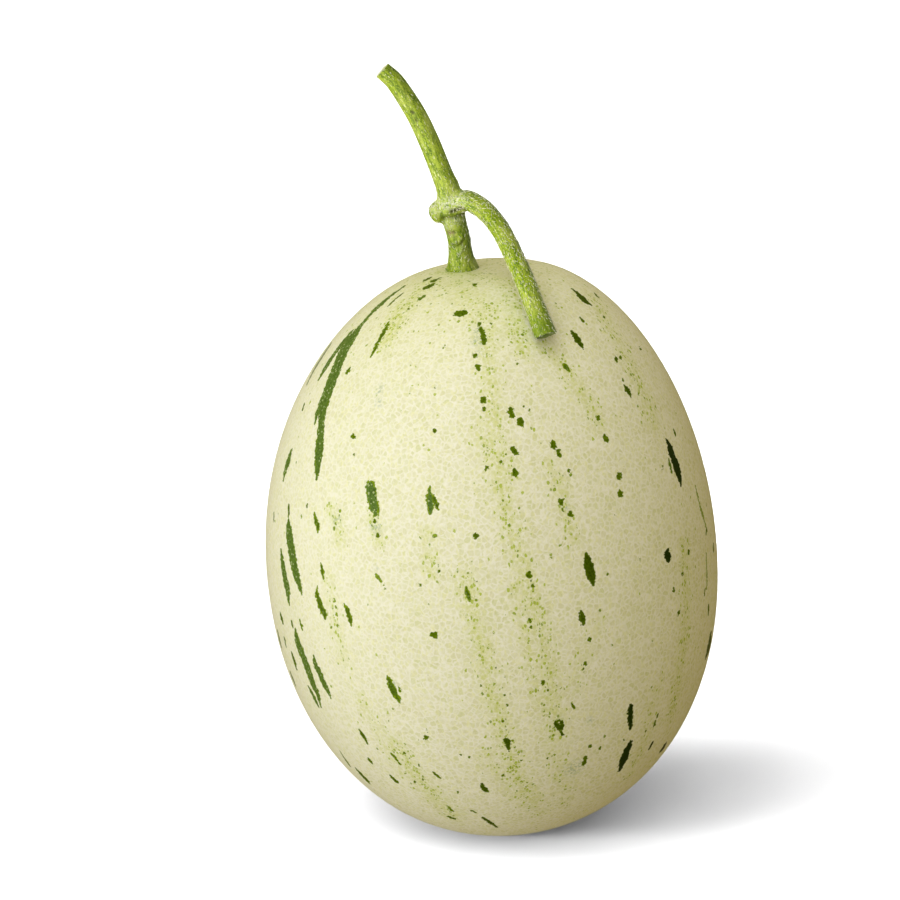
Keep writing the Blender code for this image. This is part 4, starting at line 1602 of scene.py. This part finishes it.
@dataclass
class Stem:
    """The stalk, its node with the leaf scar, and the two cut lengths of vine, grown as one."""

    view: PhotoView
    finish: VineFinish = field(default_factory=VineFinish)
    arms: tuple[Arm, ...] = (STALK_AND_LEFT_VINE, RIGHT_VINE)
    node_centre: Triple = (-12.7, -6.5, 180.6)
    node_radii: Triple = (4.1, 4.0, 3.0)
    leaf_scar_centre: Triple = (-16.5, -6.7, 179.2)
    leaf_scar_radii: Triple = (2.5, 2.6, 3.0)
    ring_sides: int = 32
    ring_spacing: float = 0.5
    knob_sides: tuple[int, int] = (36, 20)
    swell: float = 1.0
    shrink: float = 0.9
    coarse_voxel: float = 0.28
    coarse_smoothings: int = 6
    voxel: float = 0.22
    smoothings: int = 8
    cut_length: float = 4.0
    ribs: int = 5
    rib_height: float = 0.015
    foot_ridges: int = 12
    foot_ridge_height: float = 0.05
    cut_hollow: float = 0.35
    # How far the painted shade round the right length's tip reaches
    shaded_tip_reach: float = 5.6
    # Painted shade low on the stalk under the node: its middle, reach and strength
    shaded_stalk_centre: Triple = (-10.8, -3.4, 171.0)
    shaded_stalk_reach: float = 5.5
    stalk_shade_darkness: float = 0.58
    station_spacing: float = 0.25
    dent_step_px: float = 2.0
    calm_foot: float = 5.0
    calm_node: float = 6.0
    foot_ridge_reach: float = 3.0
    foot_ridge_turn: float = 0.7
    leaf_hollow_shift: Triple = (-1.4, 0.4, -1.8)
    leaf_hollow_reach: float = 1.5
    leaf_hollow_depth: float = 0.35
    leaf_scar_reach: float = 1.6
    leaf_scar_share: float = 0.35
    cut_face_slope: float = 0.72
    cut_face_sharpness: float = 5.0
    cut_face_reach: float = 1.15
    cut_face_depth: float = 1.0
    second_arm_handicap: float = 0.02
    pattern_shift: float = 200.0

    def sweep(self, bm: bmesh.types.BMesh, arm: Arm) -> None:
        """Sweep rings along an arm's centre line and close both ends, the last one slanting as it was cut.

        The rings are swollen, and the shrinking that follows leaves the creases between the arms rounded.

        Args:
            bm: the mesh of the stem's parts.
            arm: the arm.
        """
        stations = arm.stations(self.ring_spacing)
        whole = (len(stations) - 1) * self.ring_spacing
        facing = Vector(arm.cut_facing).normalized()
        last_ring = None
        for number, (station, turn) in enumerate(zip(stations, Arm.frames(stations))):
            radius = station[3] + self.swell
            ring = bmesh.ops.create_circle(bm, segments=self.ring_sides, radius=radius * MM)["verts"]
            ahead = Vector(turn[2])
            share = max(0.0, 1 - (whole - number * self.ring_spacing) / self.cut_length)
            centre = Vector(station[:3]) + ahead * self.swell * share
            place = Matrix.Translation(centre * MM) @ Matrix(turn).transposed().to_4x4()
            bmesh.ops.transform(bm, matrix=place, verts=ring)
            for vert in ring:
                vert.co -= ahead * share * (vert.co - centre * MM).dot(facing) / ahead.dot(facing)
            edges = list({edge for vert in ring for edge in vert.link_edges})
            if last_ring is None:
                bmesh.ops.edgeloop_fill(bm, edges=edges)
            else:
                bmesh.ops.bridge_loops(bm, edges=last_ring + edges)
            last_ring = edges
        bmesh.ops.edgeloop_fill(bm, edges=last_ring)

    def knob(self, bm: bmesh.types.BMesh, centre: Sequence[float], radii: Sequence[float]) -> None:
        """Add a rounded swelling.

        Args:
            bm: the mesh of the stem's parts.
            centre: the swelling's middle in millimetres.
            radii: how far it reaches along each axis.
        """
        sizes = [(radius + self.swell) * MM for radius in radii]
        place = Matrix.Translation(Vector(centre) * MM) @ Matrix.Diagonal((*sizes, 1.0))
        around, up = self.knob_sides
        bmesh.ops.create_uvsphere(bm, u_segments=around, v_segments=up, radius=1.0, matrix=place)

    def fused(self) -> bpy.types.Mesh:
        """Return the arms and swellings grown together, with soft joins between them."""
        bm = bmesh.new()
        for arm in self.arms:
            self.sweep(bm, arm)
        self.knob(bm, self.node_centre, self.node_radii)
        self.knob(bm, self.leaf_scar_centre, self.leaf_scar_radii)
        bmesh.ops.recalc_face_normals(bm, faces=bm.faces)
        rough = new_piece("stem_parts", mesh_of("stem_parts", bm))
        self.remesh(rough, self.coarse_voxel, self.coarse_smoothings)
        shrink = rough.modifiers.new("shrink", "DISPLACE")
        shrink.mid_level = 0.0
        shrink.strength = -self.shrink * MM
        self.remesh(rough, self.voxel, self.smoothings)
        bpy.context.view_layer.update()
        mesh = bpy.data.meshes.new_from_object(rough.evaluated_get(bpy.context.evaluated_depsgraph_get()))
        bpy.data.objects.remove(rough)
        mesh.name = "melon_stem"
        mesh.shade_smooth()
        return mesh

    @staticmethod
    def remesh(piece: bpy.types.Object, voxel: float, smoothings: int) -> None:
        """Have a piece grown together into an even mesh and smoothed.

        Args:
            piece: the piece.
            voxel: the size of the even mesh's squares in millimetres.
            smoothings: how often it is smoothed.
        """
        even = piece.modifiers.new("grow_together", "REMESH")
        even.mode = "VOXEL"
        even.voxel_size = voxel * MM
        smooth = piece.modifiers.new("soften", "SMOOTH")
        smooth.factor = 0.5
        smooth.iterations = smoothings

    def measured(self, places: np.ndarray) -> tuple[np.ndarray, np.ndarray, np.ndarray, np.ndarray]:
        """Find where each vertex lies along the nearest arm.

        Args:
            places: the vertices in millimetres.

        Returns:
            The index of each vertex's arm, its run along the arm, its place across the arm's frame, and the
            arm's radius there.
        """
        best = np.full(len(places), FAR_MM)
        which = np.zeros(len(places), int)
        run = np.zeros(len(places))
        side = np.zeros((len(places), 2))
        radius = np.ones(len(places))
        for index, arm in enumerate(self.arms):
            stations = arm.stations(self.station_spacing)
            frames = Arm.frames(stations)
            tree = KDTree(len(stations))
            for number, station in enumerate(stations):
                tree.insert(station[:3], number)
            tree.balance()
            found = np.array([tree.find(place)[1] for place in places])
            offset = places - stations[found, :3]
            local = np.einsum("nij,nj->ni", frames[found], offset)
            gap = np.hypot(local[:, 0], local[:, 1]) / stations[found, 3] + index * self.second_arm_handicap
            closer = gap < best
            best = np.where(closer, gap, best)
            which = np.where(closer, index, which)
            run = np.where(closer, found * self.station_spacing + local[:, 2], run)
            side = np.where(closer[:, None], local[:, :2], side)
            radius = np.where(closer, stations[found, 3], radius)
        return which, run, side, radius

    def carve(self, mesh: bpy.types.Mesh) -> None:
        """Raise the ribs and ridges, sink the pits and the cut faces, and store what the colours need.

        The attribute straight holds each vertex's place along its arm, wear its scuffs, scars and pits and the
        painted shade in the creases under the node, and the third attribute how far it is on a cut face, the
        painted shade round the right length's tip and the painted shade low on the stalk.

        Args:
            mesh: the stem's mesh.
        """
        places, normals = vertex_places(mesh), read_rows(mesh.vertex_normals, "vector")
        which, run, side, radius = self.measured(places)
        around = np.arctan2(side[:, 1], side[:, 0])
        foot = np.where(which == 0, run, FAR_MM)
        from_node = distances(places, self.node_centre)
        calm = (1 - fade(foot, self.calm_foot)) * (1 - fade(from_node, self.calm_node))
        rise = self.rib_height * radius * np.cos(self.ribs * around) * calm
        ridges = np.cos(self.foot_ridges * around + self.foot_ridge_turn) * fade(foot, self.foot_ridge_reach)
        rise += self.foot_ridge_height * ridges
        wear = np.zeros((len(places), 3))
        target = Target(mesh, self.view)
        for dent in STEM_DENTS:
            route = target.route(dent.route, self.dent_step_px)
            shape = fade(distance_to_route(places, route), dent.reach)
            rise += dent.rise * shape
            wear = np.maximum(wear, shape[:, None] * np.array([dent.scuff, dent.scar, dent.pit_and_crease_shade]))
        leaf = distances(places - np.array(self.leaf_hollow_shift), self.leaf_scar_centre)
        rise -= self.leaf_hollow_depth * fade(leaf, self.leaf_hollow_reach)
        wear[:, 1] = np.maximum(wear[:, 1], self.leaf_scar_share * fade(leaf, self.leaf_scar_reach))
        cut = np.zeros((len(places), 3))
        for arm in self.arms:
            on_face, out = self.cut_face(arm, places, normals)
            cut[:, 0] = np.maximum(cut[:, 0], on_face)
            rise -= self.cut_hollow * on_face * np.clip(1 - out**2, 0, 1)
        # Painted shade round the right length's tip
        cut[:, 1] = fade(distances(places, RIGHT_VINE.line[-1][:3]), self.shaded_tip_reach)
        # Painted shade low on the stalk, under the node and the right length
        cut[:, 2] = self.stalk_shade_darkness * fade(distances(places, self.shaded_stalk_centre), self.shaded_stalk_reach)
        set_places(mesh, places + normals * rise[:, None])
        straight = np.stack([side[:, 0], side[:, 1], run + self.pattern_shift * which], 1)
        for name, values in (("straight", straight), ("wear", wear), ("cut_and_shade", cut)):
            set_attribute(mesh, name, values)

    def cut_face(self, arm: Arm, places: np.ndarray, normals: np.ndarray) -> tuple[np.ndarray, np.ndarray]:
        """Find the cut face at an arm's end.

        Args:
            arm: the arm.
            places: the vertices in millimetres.
            normals: their normals.

        Returns:
            How far each vertex belongs to the face, from 0 to 1, and how far it is from the face's middle, as
            a share of the arm's radius.
        """
        end, facing = arm.stations(self.station_spacing)[-1], np.array(Vector(arm.cut_facing).normalized())
        offset = places - end[:3]
        depth = offset @ facing
        out = lengths(offset - depth[:, None] * facing) / end[3]
        faces_it = np.clip((normals @ facing - self.cut_face_slope) * self.cut_face_sharpness, 0, 1)
        return faces_it * (np.abs(depth) < self.cut_face_depth) * (out < self.cut_face_reach), out

    def build(self) -> bpy.types.Object:
        """Make the stem, dress it and let it stand for the stem's solid."""
        mesh = self.fused()
        self.carve(mesh)
        mesh.materials.clear()
        mesh.materials.append(self.finish.material())
        piece = new_piece("melon_stem", mesh)
        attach(piece, "root")
        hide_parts("stem")
        log.info("melon_stem: %d faces", len(mesh.polygons))
        return piece


@dataclass
class StemHairs:
    """The short white hairs that lie along the vine, thickest on the right length and the node."""

    stem: Stem
    finish: HairFinish = field(default_factory=HairFinish)
    seed: int = 3
    thick_per_mm2: float = 1.05
    thin_per_mm2: float = 0.012
    node_per_mm2: float = 0.8
    node_reach: float = 7.0
    stalk_per_mm2: float = 0.45
    stalk_middle: float = 9.0
    stalk_reach: float = 6.0
    bare_end: float = 8.0
    hair_length: Range = (0.6, 1.0)
    hair_thickness: Range = (0.075, 0.115)
    tip_share: float = 0.35
    side_lean: float = 0.8
    outward_lean: Range = (0.15, 0.5)
    sunk_share: float = 0.08
    sides: int = 5

    def wanted(self, which: np.ndarray, run: np.ndarray, places: np.ndarray) -> np.ndarray:
        """Return how many hairs grow on each square millimetre at the given places.

        Args:
            which: the index of each place's arm.
            run: how far along the arm it is.
            places: the places in millimetres, one row each.

        Returns:
            One number for each place.
        """
        node = self.node_per_mm2 * fade(distances(places, self.stem.node_centre), self.node_reach)
        along_stalk = np.where(which == 0, run, FAR_MM) - self.stalk_middle
        stalk = self.stalk_per_mm2 * fade(along_stalk, self.stalk_reach)
        vine = np.where(which == 1, self.thick_per_mm2, self.thin_per_mm2)
        ends = [distances(places, arm.stations(1.0)[-1, :3]) for arm in self.stem.arms]
        return np.max([vine, node, stalk], axis=0) * np.clip(np.min(ends, axis=0) / self.bare_end, 0.1, 1)

    def build(self, stem_piece: bpy.types.Object) -> bpy.types.Object:
        """Plant the hairs on the stem as one piece.

        Args:
            stem_piece: the finished stem.

        Returns:
            The hairs.
        """
        chance = Random(self.seed)
        skin = stem_piece.data.polygons
        centres, normals = read_rows(skin, "center") / MM, read_rows(skin, "normal")
        which, run, _, _ = self.stem.measured(centres)
        hoped = self.wanted(which, run, centres) * read_rows(skin, "area", 1)[:, 0] / MM**2
        chosen = np.nonzero(np.random.default_rng(self.seed).random(len(skin)) < hoped)[0]
        bm = bmesh.new()
        spacing = self.stem.station_spacing
        frames = [Arm.frames(arm.stations(spacing)) for arm in self.stem.arms]
        for index in chosen:
            arm_frames = frames[which[index]]
            station = min(max(int(run[index] / spacing), 0), len(arm_frames) - 1)
            ahead = Vector(arm_frames[station][2])
            self.plant(bm, Vector(centres[index]), Vector(normals[index]), ahead, chance)
        mesh = mesh_of("stem_hairs", bm)
        # Each cone's vertices come in pairs, one at the root and one at the tip
        set_attribute(mesh, "to_tip", np.tile([0.0, 1.0], len(mesh.vertices) // 2))
        mesh.materials.append(self.finish.material())
        piece = new_piece("stem_hairs", mesh)
        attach(piece, "root")
        log.info("stem_hairs: %d hairs", len(chosen))
        return piece

    def plant(
        self, bm: bmesh.types.BMesh, root: Vector, outward: Vector, ahead: Vector, chance: Random
    ) -> None:
        """Plant one hair.

        Args:
            bm: the mesh of all hairs.
            root: where the hair leaves the skin.
            outward: the skin's normal there.
            ahead: the direction in which the vine grows.
            chance: where its length, thickness and lean come from.
        """
        length = chance.uniform(*self.hair_length)
        thick = chance.uniform(*self.hair_thickness)
        side = outward.cross(ahead).normalized() * chance.uniform(-self.side_lean, self.side_lean)
        flat = (ahead - outward * ahead.dot(outward)).normalized()
        direction = (flat + side + outward * chance.uniform(*self.outward_lean)).normalized()
        turn = UP.rotation_difference(direction).to_matrix().to_4x4()
        middle = root + direction * (length * (0.5 - self.sunk_share))
        bmesh.ops.create_cone(
            bm,
            cap_ends=True,
            segments=self.sides,
            radius1=thick * MM,
            radius2=thick * self.tip_share * MM,
            depth=length * MM,
            matrix=Matrix.Translation(middle * MM) @ turn,
        )


# The studio


@dataclass(frozen=True)
class SoftSun:
    """A large soft light so far away that it is the same all over the table."""

    name: str
    azimuth_deg: float
    elevation_deg: float
    strength: float
    spread_deg: float
    colour: Triple = (1.0, 1.0, 1.0)

    def build(self, lit: bpy.types.Collection, blockers: bpy.types.Collection) -> None:
        """Make the light.

        Args:
            lit: the things that the light falls on.
            blockers: the things that cast a shadow in it.
        """
        data = bpy.data.lights.new(self.name, "SUN")
        data.energy = self.strength
        data.angle = radians(self.spread_deg)
        data.color = self.colour
        light = bpy.data.objects.new(self.name, data)
        bpy.context.scene.collection.objects.link(light)
        azimuth, elevation = radians(self.azimuth_deg), radians(self.elevation_deg)
        towards = Vector((cos(elevation) * cos(azimuth), cos(elevation) * sin(azimuth), sin(elevation)))
        light.matrix_world = towards.to_track_quat("Z", "Y").to_matrix().to_4x4()
        light.light_linking.receiver_collection = lit
        light.light_linking.blocker_collection = blockers


@dataclass(frozen=True)
class Studio:
    """A plain white table in soft light from the front left.

    The fruit, the vine and the table each have their own lights, and the whole melon casts the shadows.
    """

    floor_half_size_m: float = 14.0
    floor_colour: Colour = (0.80, 0.80, 0.80, 1.0)
    floor_roughness: float = 0.9
    room_colour: Colour = (1.0, 1.0, 1.0, 1.0)
    room_strength: float = 0.02
    fruit_lights: tuple[SoftSun, ...] = (
        SoftSun("top_light", -134.0, 63.0, 0.745, 40.0),
        SoftSun("left_panel", -172.0, -12.0, 0.42, 50.0),
        SoftSun("front_panel", -115.0, 18.0, 1.13, 60.0),
        SoftSun("low_left_bounce", -164.0, -31.0, 0.61, 60.0),
        SoftSun("ceiling", 0.0, 90.0, 1.32, 180.0, (1.0, 0.832, 0.454)),
        SoftSun("warm_bounce", 0.0, -90.0, 0.82, 180.0, (1.0, 0.752, 0.26)),
    )
    vine_lights: tuple[SoftSun, ...] = (
        SoftSun("vine_key", -127.0, 5.0, 3.0, 70.0),
        SoftSun("vine_bounce", -165.0, -15.0, 1.2, 40.0),
        SoftSun("vine_fill", -20.0, 0.0, 0.95, 180.0),
        SoftSun("vine_back", 95.0, 20.0, 1.1, 60.0),
    )
    table_lights: tuple[SoftSun, ...] = (
        SoftSun("table_dome", 0.0, 90.0, 0.98, 180.0),
        SoftSun("table_window", -115.0, 15.0, 9.2, 130.0),
        SoftSun("table_side", -155.0, 5.0, 10.5, 16.0),
        SoftSun("table_sun", -136.0, 58.0, 1.2, 30.0),
    )

    def floor(self) -> bpy.types.Object:
        """Lay the table top and return it."""
        bm = bmesh.new()
        bmesh.ops.create_grid(bm, x_segments=1, y_segments=1, size=self.floor_half_size_m)
        mesh = mesh_of("table_top", bm)
        make = Recipe("table_white")
        make.coat(self.floor_colour, self.floor_roughness, 0.0)
        mesh.materials.append(make.material)
        top = new_piece("table_top", mesh)
        top.visible_diffuse = False
        top.visible_glossy = False
        return top

    @staticmethod
    def collection(name: str, things: Iterable[bpy.types.Object]) -> bpy.types.Collection:
        """Return a collection of the given things for lights to be linked to."""
        made = bpy.data.collections.new(name)
        for thing in things:
            made.objects.link(thing)
        return made

    def build(self, fruit: Sequence[bpy.types.Object], vine: Sequence[bpy.types.Object]) -> None:
        """Set the table, the lights, the dim room and the plain colour transform.

        Args:
            fruit: the pieces that the fruit's own lights fall on.
            vine: the pieces that the vine's own lights fall on.
        """
        melon = self.collection("melon", (*fruit, *vine))
        for piece in fruit:
            # The light that the yellow rind would throw on the table is left out
            piece.visible_diffuse = False
        groups = (
            ("fruit_lit", fruit, self.fruit_lights),
            ("vine_lit", vine, self.vine_lights),
            ("table_lit", (self.floor(),), self.table_lights),
        )
        for name, things, lights in groups:
            lit = self.collection(name, things)
            for light in lights:
                light.build(lit, melon)
            log.info("%s: %d lights", name, len(lights))
        world = bpy.data.worlds.new("dim_room")
        world.use_nodes = True
        background = world.node_tree.nodes["Background"]
        background.inputs["Color"].default_value = self.room_colour
        background.inputs["Strength"].default_value = self.room_strength
        bpy.context.scene.world = world
        bpy.context.scene.view_settings.view_transform = "Standard"
        bpy.context.scene.view_settings.look = "None"


def write_sizes() -> None:
    """Bring the view layer up to date, so that every piece's place is current."""
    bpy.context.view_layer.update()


def main() -> None:
    """Build the view, the melon and the studio, in that order."""
    logging.basicConfig(level=logging.INFO, format="%(name)s: %(message)s")
    view = PhotoView()
    view.build()
    rind_piece = Rind(MelonForm(), view).build()
    stem = Stem(view)
    stem_piece = stem.build()
    hair_piece = StemHairs(stem).build(stem_piece)
    write_sizes()
    Studio().build((rind_piece,), (stem_piece, hair_piece))


if __name__ == "__main__":
    main()
